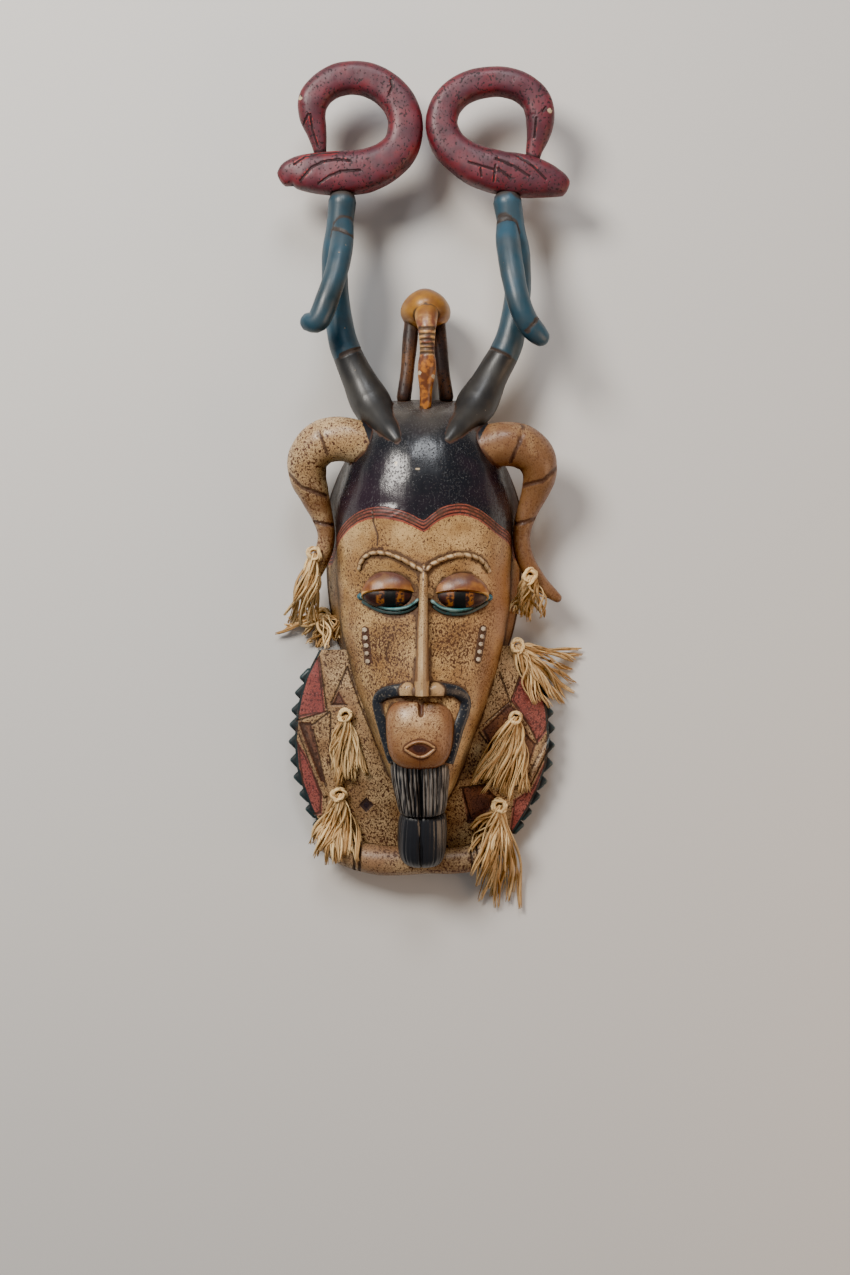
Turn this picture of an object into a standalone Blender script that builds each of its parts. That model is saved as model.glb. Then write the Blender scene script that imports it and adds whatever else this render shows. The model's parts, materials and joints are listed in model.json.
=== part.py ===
"""Carved and painted wooden mask with two bird-topped horns, a hornbill on its crown, ram horns,
toothed side wings, a beard and a neck ring, and eight tassels of raffia tied to it.

The mask lies on its back: +Z comes out of the face, +Y points to the top of the head, and the
back rim rests at z = 0. The carving is laid out in steps, one millimetre each at the sizes below,
counted from the eye line and the face's middle line, and shares the mask's own three sizes.
"""
from math import cos, pi, radians, sin, sqrt

import bmesh
import bpy
from mathutils import Matrix, Vector
from mathutils.bvhtree import BVHTree

# Driving dimensions, metres
MASK_HEIGHT = 0.815
MASK_WIDTH = 0.293
MASK_DEPTH = 0.138
WALL = 0.014
RIM_FLARE = 0.012
WING_THICKNESS = 0.016
TOOTH_PITCH = 0.0175
TOOTH_DEPTH = 0.008
TOOTH_THICKNESS = 0.009
HORN_RADIUS = 0.0135
RAM_HORN_RADIUS = 0.021
TINE_RADIUS = 0.0115
RING_RADIUS = 0.014
BROW_WIDTH = 0.005
SCAR_SIZE = 0.0062
RIB_WIDTH = 0.005
RAFFIA_GAP = 0.0015
STRAND_WIDTH = 0.012
STRAND_THICKNESS = 0.006
KNOT_RADIUS = 0.0095

# Steps of the layout, metres
ACROSS = MASK_WIDTH / 293
ALONG = MASK_HEIGHT / 815
OUT = MASK_DEPTH / 138
STEP = (ACROSS * ALONG * OUT) ** (1 / 3)

# Fineness of the facets
SHELL_COLUMNS = 14
HOLLOW_COLUMNS = 8
BIRD_SIDES = 10
HORN_SIDES = 8
FINE_SIDES = 6
TOOTH_SIDES = 4
BALL_SIDES = (8, 6)
HORNBILL_SIDES = (10, 6)
MUZZLE_SIDES = (14, 7)
KNOT_SIDES = (6, 4)
TINE_SPANS = 2
EDGE_SPANS = 6
JOIN_DISTANCE = 1e-6

# The shell's rows from the crown to the point below the chin: y, half width, height
SHELL = [
    (204, 0, 0), (203, 38, 34), (198, 54, 60), (184, 63, 86), (160, 72, 104), (130, 82, 115),
    (95, 89.5, 120), (55, 89, 119), (16, 88, 114), (-22, 84.5, 112), (-55, 78, 113),
    (-85, 70, 115), (-115, 59.5, 116), (-145, 48.5, 114), (-172, 38, 104), (-196, 27, 84),
    (-212, 15, 52), (-217, 0, 0)]
ARCH_FULLNESS = 2.4
WALL_HEIGHT = 34
WALL_SHARE = 0.5
EDGE_SHARE = 0.985
FLARE_SPAN = (-75, 150)
HOLLOW_ENDS = (0.5, 0.3)

# Routes of the round carved members: x, y, z, half width and half thickness as shares of the
# member's own radius
LEFT_HORN = [
    (-80, 413, 62, 1.08, 1.08), (-84, 375, 60, 1.0, 1.0), (-89, 345.8, 56, 0.97, 1.0),
    (-89.4, 316.4, 52, 0.97, 1.0), (-86.4, 286.6, 50, 1.0, 1.05), (-80.4, 256.5, 50, 1.1, 1.15),
    (-67.3, 225.3, 50, 1.22, 1.3), (-52.3, 196.2, 50, 1.55, 1.7), (-34, 169, 52, 1.3, 1.5)]
RIGHT_HORN = [
    (81, 413, 62, 1.08, 1.08), (87, 375, 60, 1.0, 1.0), (93.2, 345.8, 56, 0.97, 1.0),
    (94.4, 316.4, 52, 0.97, 1.0), (91.4, 286.6, 50, 1.0, 1.05), (84.4, 256.5, 50, 1.1, 1.15),
    (68.3, 225.3, 50, 1.22, 1.3), (52.3, 196.2, 50, 1.55, 1.7), (34, 169, 52, 1.3, 1.5)]
LEFT_TINE = [
    (-79.8, 382, 62, 0.8, 0.8), (-81.3, 354.4, 78, 1.0, 1.0), (-85.7, 324.5, 91, 1.0, 1.0),
    (-94.2, 296.7, 97, 1.0, 1.0), (-103, 275, 97, 1.0, 1.0), (-112, 272.5, 94, 0.85, 0.85),
    (-120, 277, 91, 0.6, 0.6)]
RIGHT_TINE = [
    (81.8, 384, 62, 0.8, 0.8), (83.3, 354.4, 78, 1.05, 1.0), (86.7, 324.5, 91, 1.05, 1.0),
    (92.3, 295.7, 97, 1.0, 1.0), (100.1, 274, 97, 1.0, 1.0), (111.2, 261, 93, 0.9, 0.9),
    (122, 253, 88, 0.6, 0.6)]

# The loop-necked birds on the horns, from the tail round the neck to the tip of the beak:
# x, y, half width and half thickness in steps
BIRD_LEVEL = 60
LEFT_BIRD = [
    (-145.5, 419.5, 4, 6), (-141, 421.5, 9, 9), (-133, 426, 13.5, 12.5), (-120, 427, 17.5, 15.5),
    (-99, 426.5, 21, 17),
    (-79, 427, 21.5, 18), (-59, 429, 21, 18), (-38, 438, 19.5, 17.5), (-23, 453, 18, 17),
    (-18.5, 474, 17.5, 17), (-24, 495, 17, 16.5), (-38, 511, 16.5, 16), (-56, 520, 16, 16),
    (-74, 522, 15.5, 16), (-91, 518, 15.5, 16), (-104, 508.5, 15, 15.5), (-111, 497, 15, 15),
    (-111.5, 484, 13.3, 13.5), (-108, 470, 10.3, 10.5), (-105, 456, 7.7, 8), (-103, 442, 5.5, 6)]
RIGHT_BIRD = [
    (144.5, 409.5, 4.5, 6), (140, 412.5, 9.5, 10), (132, 416, 13.5, 13), (119, 420, 17.5, 15.5),
    (98, 424, 21, 17),
    (76, 427, 21, 18), (56, 433, 20, 18), (38, 442.5, 18, 17.5), (24, 456, 17, 17),
    (17.5, 475, 16, 16.5), (22, 494, 15.5, 16), (35, 508, 14.8, 16), (54, 516, 14.3, 16),
    (76, 518, 14, 16), (96, 513, 14, 16), (110, 502, 14.5, 15.5), (115.5, 489, 14.8, 15),
    (116, 476, 13.8, 13.5), (113.5, 462, 11, 10.5), (110, 449, 8.4, 8), (108.5, 436, 6, 6)]

# The hornbill: its body, its bent neck with head and bill, and its two deep legs
HORNBILL_BODY = (1.5, 292, 50)
HORNBILL_BODY_SIZE = (25, 20.5, 36)
HORNBILL_NECK = [
    (2, 294, 68, 13, 13), (2.5, 278, 83, 11, 10.5), (3, 264, 89, 8.4, 8.5), (3, 245, 88, 7.1, 7.5),
    (3, 233, 86, 8.8, 9), (2.5, 221, 82.5, 8.4, 8.5), (2, 208, 79, 6.3, 6.8), (1.5, 192, 75, 5.6, 5.6),
    (1, 182, 72.5, 3.4, 3.6), (0.5, 176, 71, 1.6, 2)]
LEFT_LEG = [
    (-12, 290, 44, 7, 14), (-14, 262, 44, 7.5, 14), (-17, 230, 44, 7, 14), (-22, 194, 42, 7.5, 16)]
RIGHT_LEG = [
    (14, 290, 44, 7, 14), (16, 262, 44, 7, 14), (19, 230, 44, 6.8, 14), (24, 194, 42, 7.5, 16)]

LEFT_RAM_HORN = [
    (-32, 148, 62, 0.9, 0.9), (-51.8, 151.5, 66, 1.0, 1.0), (-78.7, 160, 68, 1.05, 1.05),
    (-101.7, 157, 66, 1.05, 1.0), (-115.4, 141.9, 61, 0.98, 0.95), (-116.2, 123.8, 56, 0.88, 0.85),
    (-110.8, 107, 52, 0.72, 0.7), (-103, 86, 47, 0.52, 0.56), (-98.5, 66.9, 44, 0.43, 0.48),
    (-101.5, 48.8, 42, 0.43, 0.46), (-111, 29.7, 41, 0.43, 0.44), (-122, 11, 41, 0.36, 0.38),
    (-128, 3, 41, 0.24, 0.26)]
RIGHT_RAM_HORN = [
    (32, 148, 62, 0.9, 0.9), (51.8, 150, 66, 1.0, 1.0), (76.7, 155, 68, 1.05, 1.05),
    (96, 153.5, 66, 1.05, 1.0), (110.5, 143, 62, 0.98, 0.95), (115.6, 128, 58, 0.84, 0.85),
    (112.5, 112, 53, 0.68, 0.7), (106.5, 96, 49, 0.55, 0.58), (101, 80, 46, 0.46, 0.5),
    (98, 62, 43, 0.42, 0.46), (102, 41.7, 42, 0.43, 0.45), (114, 21, 41, 0.42, 0.42),
    (130, 6, 41, 0.28, 0.3), (140, -1, 41, 0.12, 0.16)]

# The wings beside the face: y, inner edge, outer edge, and the height of each edge
LEFT_WING = [
    (-50, -70, -106, 48, 40), (-78, -62, -120, 50, 36), (-96, -56, -125.5, 51, 33),
    (-114, -48, -129, 52, 31), (-140, -38, -131.5, 50, 29), (-169, -28, -129.5, 46, 28),
    (-189, -20, -123.5, 41, 27), (-210, -14, -116, 35, 25), (-232, -12, -106, 29, 22),
    (-252, -10, -96, 25, 19)]
RIGHT_WING = [
    (-46, 70, 102, 48, 40), (-68, 62, 114, 50, 36), (-90, 56, 120.5, 51, 33),
    (-114, 48, 125.5, 52, 31), (-140, 38, 127.5, 50, 29), (-169, 28, 124, 46, 28),
    (-189, 20, 117, 41, 27), (-210, 14, 107, 35, 25), (-232, 12, 94, 29, 22),
    (-252, 10, 80, 25, 19)]
WING_COLUMNS = 5
TOOTH_SPAN = (-62, -243)
TOOTH_SHARE = 0.62
TOOTH_DROP = 0.8
RIB_RISE = 0.6
LEFT_RIBS = [[(-131, -114), (-121, -150), (-104, -198)], [(-103, -54), (-99, -84), (-95, -110)]]
RIGHT_RIBS = [[(128, -142), (117, -160), (106, -186)], [(101, -50), (92, -78), (84, -104)]]

# The ring under the beard: x, y, z and its radius's share
NECK_RING = [
    (-106, -238, 22, 0.8), (-84, -254, 26, 0.95), (-56, -262, 30, 1.07), (-28, -264, 33, 1.05),
    (0, -263.5, 35, 0.95), (24, -264, 33, 0.93), (47, -261.5, 30, 0.93), (68, -250, 25, 0.86),
    (88, -234, 22, 0.75)]

# The beard's two tiers: x, y, z, half width, half thickness
BEARD_UPPER = [
    (-3, -152, 84, 24, 20), (-3.5, -160, 84, 28.5, 26), (-3.5, -168, 83, 29.5, 27),
    (-2.5, -190, 77, 26.5, 24), (-2, -207, 71, 23.5, 21), (-2, -213, 69, 20, 17)]
BEARD_LOWER = [
    (-1, -206, 68, 18, 15), (-1, -213, 67, 22.5, 20), (-1.5, -230, 62, 25, 23),
    (-2, -246, 57, 24.5, 23), (-2, -258, 53, 21, 20), (-2, -267, 51, 14.5, 14)]
BEARD_FLUTES = 9
FLUTE_DEPTH = 0.05

# Carving on the face: x and y of each feature's line
BROW = [
    (-64, 28.5), (-59.4, 39.6), (-49.4, 45), (-35.3, 43.9), (-19.9, 37.7), (0, 27.4), (6.5, 32.8),
    (20.8, 39.6), (35, 42.8), (48.3, 41.6), (58.2, 36.2), (64.8, 26.3)]
HAIRLINE = [
    (-87, 52), (-80, 66), (-70, 74.5), (-58, 80), (-46, 82), (-33, 81), (-18, 77), (-5, 70.5),
    (1, 68), (7, 73), (17, 80.5), (30, 84.5), (42, 84), (54, 79.5), (64, 71.5), (72, 63), (80, 54)]
NOSE = [
    (0, 30, 3.5, 3), (-0.5, 10, 4.2, 8), (-1, -20, 5, 12), (-1.5, -50, 6, 15.5),
    (-2, -75, 7.5, 19.5), (-2, -90, 8.5, 21), (-2, -95, 6.5, 16)]
NOSTRILS = [(-14, -86.5), (9.5, -86.5)]
NOSTRIL_SIZE = (10, 7, 10)
MUZZLE = (-4, -131)
MUZZLE_SIZE = (33, 37, 20)
MUZZLE_SINK = 10
UPPER_LIP = [(-19, -145.5), (-11, -140), (-4, -138.5), (3, -140), (11, -145)]
LOWER_LIP = [(-19, -145.5), (-11, -151), (-4, -153.5), (3, -151.5), (11, -145)]
LEFT_MOUSTACHE = [
    (-19, -88), (-38, -91), (-46.5, -98), (-46, -108), (-42, -125), (-38, -140), (-31, -161)]
RIGHT_MOUSTACHE = [
    (16, -87), (33, -90), (42, -98), (41, -110), (36, -125), (32, -140), (25, -161)]
EYES = [(-33, 4.5), (35, 3.5)]
EYEBALL_SIZE = (27, 14, 11)
LID_SIZE = (28.5, 23.3, 14.5)
EYE_SINK = 5
LID_EDGE_TURN = -30
LOWER_LID = [(-29, -1.5), (-20.5, -6.5), (-8.5, -12.5), (4.5, -14.4), (18, -12), (28, -5)]
LID_EDGE_DROP = 0.10
LEFT_SCARS = ((-58, -30), (-55, -61))
RIGHT_SCARS = ((58, -29), (53, -59))
SCAR_COUNT = 5
SCAR_LIFT = 0.1

# The half width and the rise of the raised lines on the face; the brow's rise is a share of
# its width
LIP_LINE = (1.8, 2.6)
MOUSTACHE_LINE = (5, 4)
HAIR_LINE = (5, 2.2)
LOWER_LID_LINE = (2.2, 4)
BROW_RISE = 0.7

# Raffia tassels: root, then the free end of each bunch of strands
TASSELS = {
    "tassel_left_horn": ((-110, 46), [(-146, -22), (-133, -27), (-118, -26), (-104, -24)]),
    "tassel_left_shoulder": ((-104, -14), [
        (-152, -38), (-143, -16), (-122, -50), (-96, -52), (-84, -36)]),
    "tassel_left_wing_low": ((-86, -196), [(-120, -252), (-103, -268), (-84, -272), (-62, -266)]),
    "tassel_left_wing": ((-79, -116), [(-96, -184), (-84, -190), (-70, -188), (-54, -176)]),
    "tassel_right_horn": ((106, 24), [(88, -13), (98, -22), (111, -21), (124, -18)]),
    "tassel_right_shoulder": ((94, -46), [
        (168, -45), (166, -72), (152, -108), (132, -108), (113, -122)]),
    "tassel_right_wing_low": ((76, -208), [(42, -222), (53, -314), (77, -320), (104, -316)]),
    "tassel_right_wing": ((92, -118), [(46, -180), (58, -200), (82, -202), (108, -204)]),
}
KNOT_SHARE = 0.62
STRAND_SPREAD = (0.6, 0.9, 1.0, 0.9, 0.35)
STATION_STEPS = 5
DRAPE_SLOPE = 0.9
DRAPE_REACH = 0.006

# Paint and raffia: colour, roughness, metallic
WOOD_PAINT = ((0.62, 0.47, 0.28, 1.0), 0.45, 0.0)
RAFFIA_FIBRE = ((0.66, 0.46, 0.22, 1.0), 0.85, 0.0)


def place(x, y, z):
    """The point at a place of the layout."""
    return Vector((x * ACROSS, y * ALONG, z * OUT))


def flow(knots, spans):
    """Points on a smooth curve through the knots, with so many spans between each two."""
    points = []
    last = len(knots) - 1
    for index in range(last):
        four = [knots[max(index - 1, 0)], knots[index], knots[index + 1], knots[min(index + 2, last)]]
        for part in range(spans):
            t = part / spans
            points.append(tuple(
                b + 0.5 * t * (c - a + t * (2 * a - 5 * b + 4 * c - d + t * (3 * (b - c) + d - a)))
                for a, b, c, d in zip(*four)))
    points.append(tuple(knots[last]))
    return points


def read_row(rows, y):
    """The row at y, between the two rows on either side of it."""
    if y >= rows[0][0]:
        return rows[0][1:]
    for upper, lower in zip(rows, rows[1:]):
        if y >= lower[0]:
            share = (upper[0] - y) / max(upper[0] - lower[0], JOIN_DISTANCE)
            return tuple(a + (b - a) * share for a, b in zip(upper[1:], lower[1:]))
    return rows[-1][1:]


def new_object(name, bm, material):
    """An object in the scene from a finished bmesh."""
    mesh = bpy.data.meshes.new(name)
    bm.to_mesh(mesh)
    bm.free()
    mesh.shade_smooth()
    mesh.materials.append(material)
    item = bpy.data.objects.new(name, mesh)
    bpy.context.scene.collection.objects.link(item)
    return item


def new_material(name, look):
    """A Principled material from a colour, a roughness and a metallic value."""
    material = bpy.data.materials.new(name)
    material.use_nodes = True
    shader = material.node_tree.nodes["Principled BSDF"]
    shader.inputs["Base Color"].default_value = look[0]
    shader.inputs["Roughness"].default_value = look[1]
    shader.inputs["Metallic"].default_value = look[2]
    material.diffuse_color = look[0]
    return material


def close_up(bm):
    """Joins a seam, caps open ends and turns every face outward."""
    bmesh.ops.remove_doubles(bm, verts=bm.verts, dist=JOIN_DISTANCE)
    bmesh.ops.dissolve_degenerate(bm, edges=bm.edges, dist=JOIN_DISTANCE)
    bmesh.ops.holes_fill(bm, edges=bm.edges)
    bmesh.ops.recalc_face_normals(bm, faces=bm.faces)


def tube(stations, sides, flute=0.0):
    """A closed member through stations (centre, half width, half thickness)."""
    bm = bmesh.new()
    last = len(stations) - 1
    bmesh.ops.create_grid(bm, x_segments=sides, y_segments=last, size=1.0)
    for vert in bm.verts:
        side_number = round((vert.co.x + 1) / 2 * sides)
        number = round((vert.co.y + 1) / 2 * last)
        centre, half_width, half_thickness = stations[number]
        tangent = stations[min(number + 1, last)][0] - stations[max(number - 1, 0)][0]
        sideways = tangent.cross(Vector((0, 0, 1))).normalized()
        outward = sideways.cross(tangent).normalized()
        turn = 2 * pi * (side_number % sides) / sides
        swell = 1 - flute * (side_number % 2)
        vert.co = (centre + sideways * cos(turn) * half_width * swell
                   + outward * sin(turn) * half_thickness * swell)
    close_up(bm)
    return bm


def shell_surface(x, y):
    """The height in metres of the plain shell at a place of the layout."""
    half, height = read_row(SHELL, y)
    share = min(abs(x) / max(half, 1), EDGE_SHARE)
    wall = min(WALL_HEIGHT, WALL_SHARE * height)
    return (wall + (height - wall) * sqrt(1 - share ** ARCH_FULLNESS)) * OUT


def flare_share(y):
    """How much of the rim's flare a row has: none at the crown and below the cheeks."""
    low, high = FLARE_SPAN
    share = (y - low) / (high - low)
    return sin(pi * min(max(share, 0), 1)) ** 0.5


def arch(rows, arch_columns, foot):
    """A closed arched body through rows (y, half width, height, flare) in metres, flat below."""
    bm = bmesh.new()
    last = len(rows) - 1
    columns = arch_columns + 2
    bmesh.ops.create_grid(bm, x_segments=columns, y_segments=last, size=1.0)
    for vert in bm.verts:
        column = round((vert.co.x + 1) / 2 * columns)
        y, half, height, flare = rows[round((1 - vert.co.y) / 2 * last)]
        wall = min(WALL_HEIGHT * OUT, WALL_SHARE * height)
        angle = pi / 2 * min(max((column - 1) / arch_columns * 2 - 1, -1), 1)
        on_foot = column in (0, columns) or half == 0
        side = (1 if angle > 0 else -1) * abs(sin(angle)) ** (2 / ARCH_FULLNESS)
        rise = wall + (height - wall) * max(cos(angle), 0)
        reach = half + flare if on_foot else half
        vert.co = Vector((side * reach, y, foot if on_foot else rise))
    close_up(bm)
    return bm


def shell():
    """The mask's arched body, solid as yet."""
    rows = [(y * ALONG, half * ACROSS, height * OUT, RIM_FLARE * flare_share(y) * (half > 0))
            for y, half, height in SHELL]
    return arch(rows, SHELL_COLUMNS, 0)


def hollow():
    """The space that the carver cut out behind the face, one wall's thickness inside it."""
    rows = [(y * ALONG, half * ACROSS - WALL, height * OUT - WALL, RIM_FLARE * flare_share(y))
            for y, half, height in SHELL if min(half * ACROSS, height * OUT) > 2 * WALL]
    crown = (rows[0][0], 0, 0, 0)
    chin = (rows[-1][0] - HOLLOW_ENDS[1] * WALL, 0, 0, 0)
    inner = [(rows[0][0] - HOLLOW_ENDS[0] * WALL,) + rows[0][1:]] + rows[1:]
    return arch([crown] + inner + [chin], HOLLOW_COLUMNS, -WALL)


def member(route, radius):
    """A horn or tine from its route in shares of its radius."""
    stations = [(place(x, y, z), wide * radius, thick * radius) for x, y, z, wide, thick in route]
    return tube(stations, HORN_SIDES)


def ball(centre, size, sides=BALL_SIDES):
    """An egg shape with its centre and its three half sizes in metres."""
    bm = bmesh.new()
    bmesh.ops.create_uvsphere(bm, u_segments=sides[0], v_segments=sides[1], radius=1.0)
    bmesh.ops.scale(bm, vec=size, verts=bm.verts)
    bmesh.ops.translate(bm, vec=centre, verts=bm.verts)
    return bm


def steps(size):
    """Three half sizes of the layout, in metres."""
    return Vector((size[0] * ACROSS, size[1] * ALONG, size[2] * OUT))


def on_face(x, y, lift=0.0):
    """The point on the shell's surface over a place of the layout."""
    return Vector((x * ACROSS, y * ALONG, shell_surface(x, y) + lift))


def on_muzzle(x, y):
    """The point on the muzzle over a place of the layout."""
    size = steps(MUZZLE_SIZE)
    across = (x - MUZZLE[0]) * ACROSS / size.x
    along = (y - MUZZLE[1]) * ALONG / size.y
    bulge = size.z * sqrt(max(1 - across ** 2 - along ** 2, 0))
    crown = shell_surface(*MUZZLE) - MUZZLE_SINK * OUT
    return Vector((x * ACROSS, y * ALONG, max(crown + bulge, shell_surface(x, y))))


def trail(route, half_width, rise, surface=on_face):
    """A raised line that follows a surface."""
    return tube([(surface(x, y), half_width, rise) for x, y in route], FINE_SIDES)


def face_line(route, size, surface=on_face):
    """A raised line on the face, with its half width and rise in steps."""
    return trail(route, size[0] * STEP, size[1] * STEP, surface)


def wing_surface(wing, x, y):
    """The height in metres of a wing's front at a place of the layout."""
    inner, outer, inner_height, outer_height = read_row(wing, y)
    share = min(max((x - inner) / (outer - inner), 0), 1)
    return (inner_height + (outer_height - inner_height) * share ** 2) * OUT


def wing_plate(wing):
    """One wing: a plate that falls away from the face to its outer edge."""
    bm = bmesh.new()
    last = len(wing) - 1
    bmesh.ops.create_grid(bm, x_segments=WING_COLUMNS, y_segments=last, size=1.0)
    for vert in bm.verts:
        y, inner, outer = wing[round((1 - vert.co.y) / 2 * last)][:3]
        x = inner + (outer - inner) * (vert.co.x + 1) / 2
        vert.co = Vector((x * ACROSS, y * ALONG, wing_surface(wing, x, y)))
    back = bmesh.ops.extrude_face_region(bm, geom=bm.faces[:])["geom"]
    lower = [item for item in back if isinstance(item, bmesh.types.BMVert)]
    bmesh.ops.translate(bm, vec=(0, 0, -WING_THICKNESS), verts=lower)
    bmesh.ops.recalc_face_normals(bm, faces=bm.faces)
    return bm


def wing_teeth(wing):
    """The row of teeth along a wing's outer edge."""
    edge = [place(outer, y, height) for y, _, outer, _, height in flow(wing, EDGE_SPANS)
            if TOOTH_SPAN[1] <= y <= TOOTH_SPAN[0]]
    teeth = []
    travelled = 0.0
    for here, ahead in zip(edge, edge[1:]):
        travelled += (ahead - here).length
        if travelled < TOOTH_PITCH:
            continue
        travelled -= TOOTH_PITCH
        inward = Vector((-here.x, 0, 0)).normalized()
        radius = TOOTH_PITCH * TOOTH_SHARE
        bm = bmesh.new()
        bmesh.ops.create_cone(bm, cap_ends=True, segments=TOOTH_SIDES, radius1=radius, radius2=radius,
                              depth=TOOTH_THICKNESS)
        centre = here + inward * (radius - TOOTH_DEPTH)
        bmesh.ops.translate(bm, vec=centre - Vector((0, 0, TOOTH_THICKNESS * TOOTH_DROP)), verts=bm.verts)
        teeth.append(bm)
    return teeth


def wing_ribs(wing, ribs):
    """The raised ribs between a wing's painted panels."""
    def surface(x, y):
        return Vector((x * ACROSS, y * ALONG, wing_surface(wing, x, y)))
    return [trail(rib, RIB_WIDTH / 2, RIB_WIDTH * RIB_RISE, surface) for rib in ribs]


def bird(route):
    """A bird whose neck loops back to lay its beak on its own back."""
    stations = [(place(x, y, BIRD_LEVEL), wide * STEP, thick * STEP) for x, y, wide, thick in route]
    return tube(stations, BIRD_SIDES)


def hornbill():
    """The bird on the crown: body, neck with head and bill, and legs."""
    forms = [ball(place(*HORNBILL_BODY), steps(HORNBILL_BODY_SIZE), HORNBILL_SIDES)]
    for route in (HORNBILL_NECK, LEFT_LEG, RIGHT_LEG):
        stations = [(place(x, y, z), wide * STEP, thick * STEP) for x, y, z, wide, thick in route]
        forms.append(tube(stations, HORN_SIDES))
    return forms


def beard():
    """The beard's two tiers, fluted as strands."""
    forms = []
    for tier in (BEARD_UPPER, BEARD_LOWER):
        stations = [(place(x, y, z), wide * STEP, thick * STEP) for x, y, z, wide, thick in tier]
        forms.append(tube(stations, 2 * BEARD_FLUTES, FLUTE_DEPTH))
    return forms


def nose():
    """The narrow nose and its two nostril wings."""
    stations = [(on_face(x, y), wide * STEP, rise * OUT) for x, y, wide, rise in NOSE]
    forms = [tube(stations, HORN_SIDES)]
    for x, y in NOSTRILS:
        forms.append(ball(on_face(x, y), steps(NOSTRIL_SIZE)))
    return forms


def eye(side, x, y):
    """An eye: the ball, the heavy upper lid cut along its edge, and the thin lower lid."""
    seat = on_face(x, y, -EYE_SINK * OUT)
    eyeball = ball(seat, steps(EYEBALL_SIZE))
    lid = ball(seat, steps(LID_SIZE))
    edge = Matrix.Rotation(radians(LID_EDGE_TURN), 3, "X") @ Vector((0, -1, 0))
    cut = bmesh.ops.bisect_plane(lid, geom=lid.verts[:] + lid.edges[:] + lid.faces[:],
                                 plane_co=seat - Vector((0, LID_EDGE_DROP * LID_SIZE[1] * ALONG, 0)),
                                 plane_no=edge, clear_outer=True)
    rim = [item for item in cut["geom_cut"] if isinstance(item, bmesh.types.BMEdge)]
    bmesh.ops.holes_fill(lid, edges=rim)
    bmesh.ops.recalc_face_normals(lid, faces=lid.faces)
    route = [(x + side * dx, y + dy) for dx, dy in LOWER_LID]
    return [eyeball, lid, face_line(route, LOWER_LID_LINE)]


def scars(ends):
    """A row of small raised diamonds down a cheek."""
    forms = []
    for number in range(SCAR_COUNT):
        share = number / (SCAR_COUNT - 1)
        x, y = [a + (b - a) * share for a, b in zip(*ends)]
        bm = bmesh.new()
        bmesh.ops.create_cone(bm, cap_ends=True, segments=4, radius1=SCAR_SIZE / 2, radius2=0,
                              depth=SCAR_SIZE)
        bmesh.ops.translate(bm, vec=on_face(x, y, SCAR_SIZE * SCAR_LIFT), verts=bm.verts)
        forms.append(bm)
    return forms


def mask_forms():
    """Every form of the carving, each closed and let into its neighbours."""
    forms = [member(LEFT_HORN, HORN_RADIUS),
             member(RIGHT_HORN, HORN_RADIUS),
             member(flow(LEFT_TINE, TINE_SPANS), TINE_RADIUS),
             member(flow(RIGHT_TINE, TINE_SPANS), TINE_RADIUS),
             member(LEFT_RAM_HORN, RAM_HORN_RADIUS),
             member(RIGHT_RAM_HORN, RAM_HORN_RADIUS),
             bird(LEFT_BIRD),
             bird(RIGHT_BIRD)]
    forms += hornbill()
    for wing, ribs in ((LEFT_WING, LEFT_RIBS), (RIGHT_WING, RIGHT_RIBS)):
        forms.append(wing_plate(wing))
        forms += wing_teeth(wing)
        forms += wing_ribs(wing, ribs)
    ring = [(place(x, y, z), share * RING_RADIUS, share * RING_RADIUS) for x, y, z, share in NECK_RING]
    forms.append(tube(ring, HORN_SIDES))
    forms += beard() + nose()
    forms.append(ball(on_face(*MUZZLE, -MUZZLE_SINK * OUT), steps(MUZZLE_SIZE), MUZZLE_SIDES))
    forms.append(face_line(UPPER_LIP, LIP_LINE, on_muzzle))
    forms.append(face_line(LOWER_LIP, LIP_LINE, on_muzzle))
    forms.append(face_line(LEFT_MOUSTACHE, MOUSTACHE_LINE))
    forms.append(face_line(RIGHT_MOUSTACHE, MOUSTACHE_LINE))
    forms.append(trail(BROW, BROW_WIDTH / 2, BROW_WIDTH * BROW_RISE))
    forms.append(face_line(HAIRLINE, HAIR_LINE))
    for side, (x, y) in zip((1, -1), EYES):
        forms += eye(side, x, y)
    return forms + scars(LEFT_SCARS) + scars(RIGHT_SCARS)


def guide(name, bm, material):
    """A form that only joins or cuts another, left out of the finished part."""
    item = new_object(name, bm, material)
    item.hide_render = True
    item.display_type = "WIRE"
    return item


def boolean(item, other, operation):
    """A live Boolean on an object with another object or a collection."""
    step = item.modifiers.new(operation.title(), "BOOLEAN")
    step.operation = operation
    if isinstance(other, bpy.types.Collection):
        step.operand_type = "COLLECTION"
        step.collection = other
    else:
        step.object = other


def joined(name, forms, material):
    """One object from its first form, with the others joined to it."""
    item = new_object(name, forms[0], material)
    others = bpy.data.collections.new(name + "_forms")
    bpy.context.scene.collection.children.link(others)
    for number, bm in enumerate(forms[1:]):
        form = guide(f"{name}_form_{number}", bm, material)
        bpy.context.scene.collection.objects.unlink(form)
        others.objects.link(form)
    boolean(item, others, "UNION")
    return item


def build_mask(material):
    """The carved mask, hollow behind, with its back rim flat at z = 0."""
    mask = joined("mask", [shell()] + mask_forms(), material)
    boolean(mask, guide("mask_hollow", hollow(), material), "DIFFERENCE")
    return mask


def surface_tree(item):
    """A search tree of an object's finished surface."""
    graph = bpy.context.evaluated_depsgraph_get()
    return BVHTree.FromObject(item, graph)


def support(trees, x, y, reach):
    """The highest surface under a small square, or the ground."""
    height = 0.0
    for dx in (-reach, 0, reach):
        for dy in (-reach, 0, reach):
            for tree in trees:
                hit = tree.ray_cast(Vector((x + dx, y + dy, 1.0)), Vector((0, 0, -1)))[0]
                if hit:
                    height = max(height, hit.z)
    return height


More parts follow.
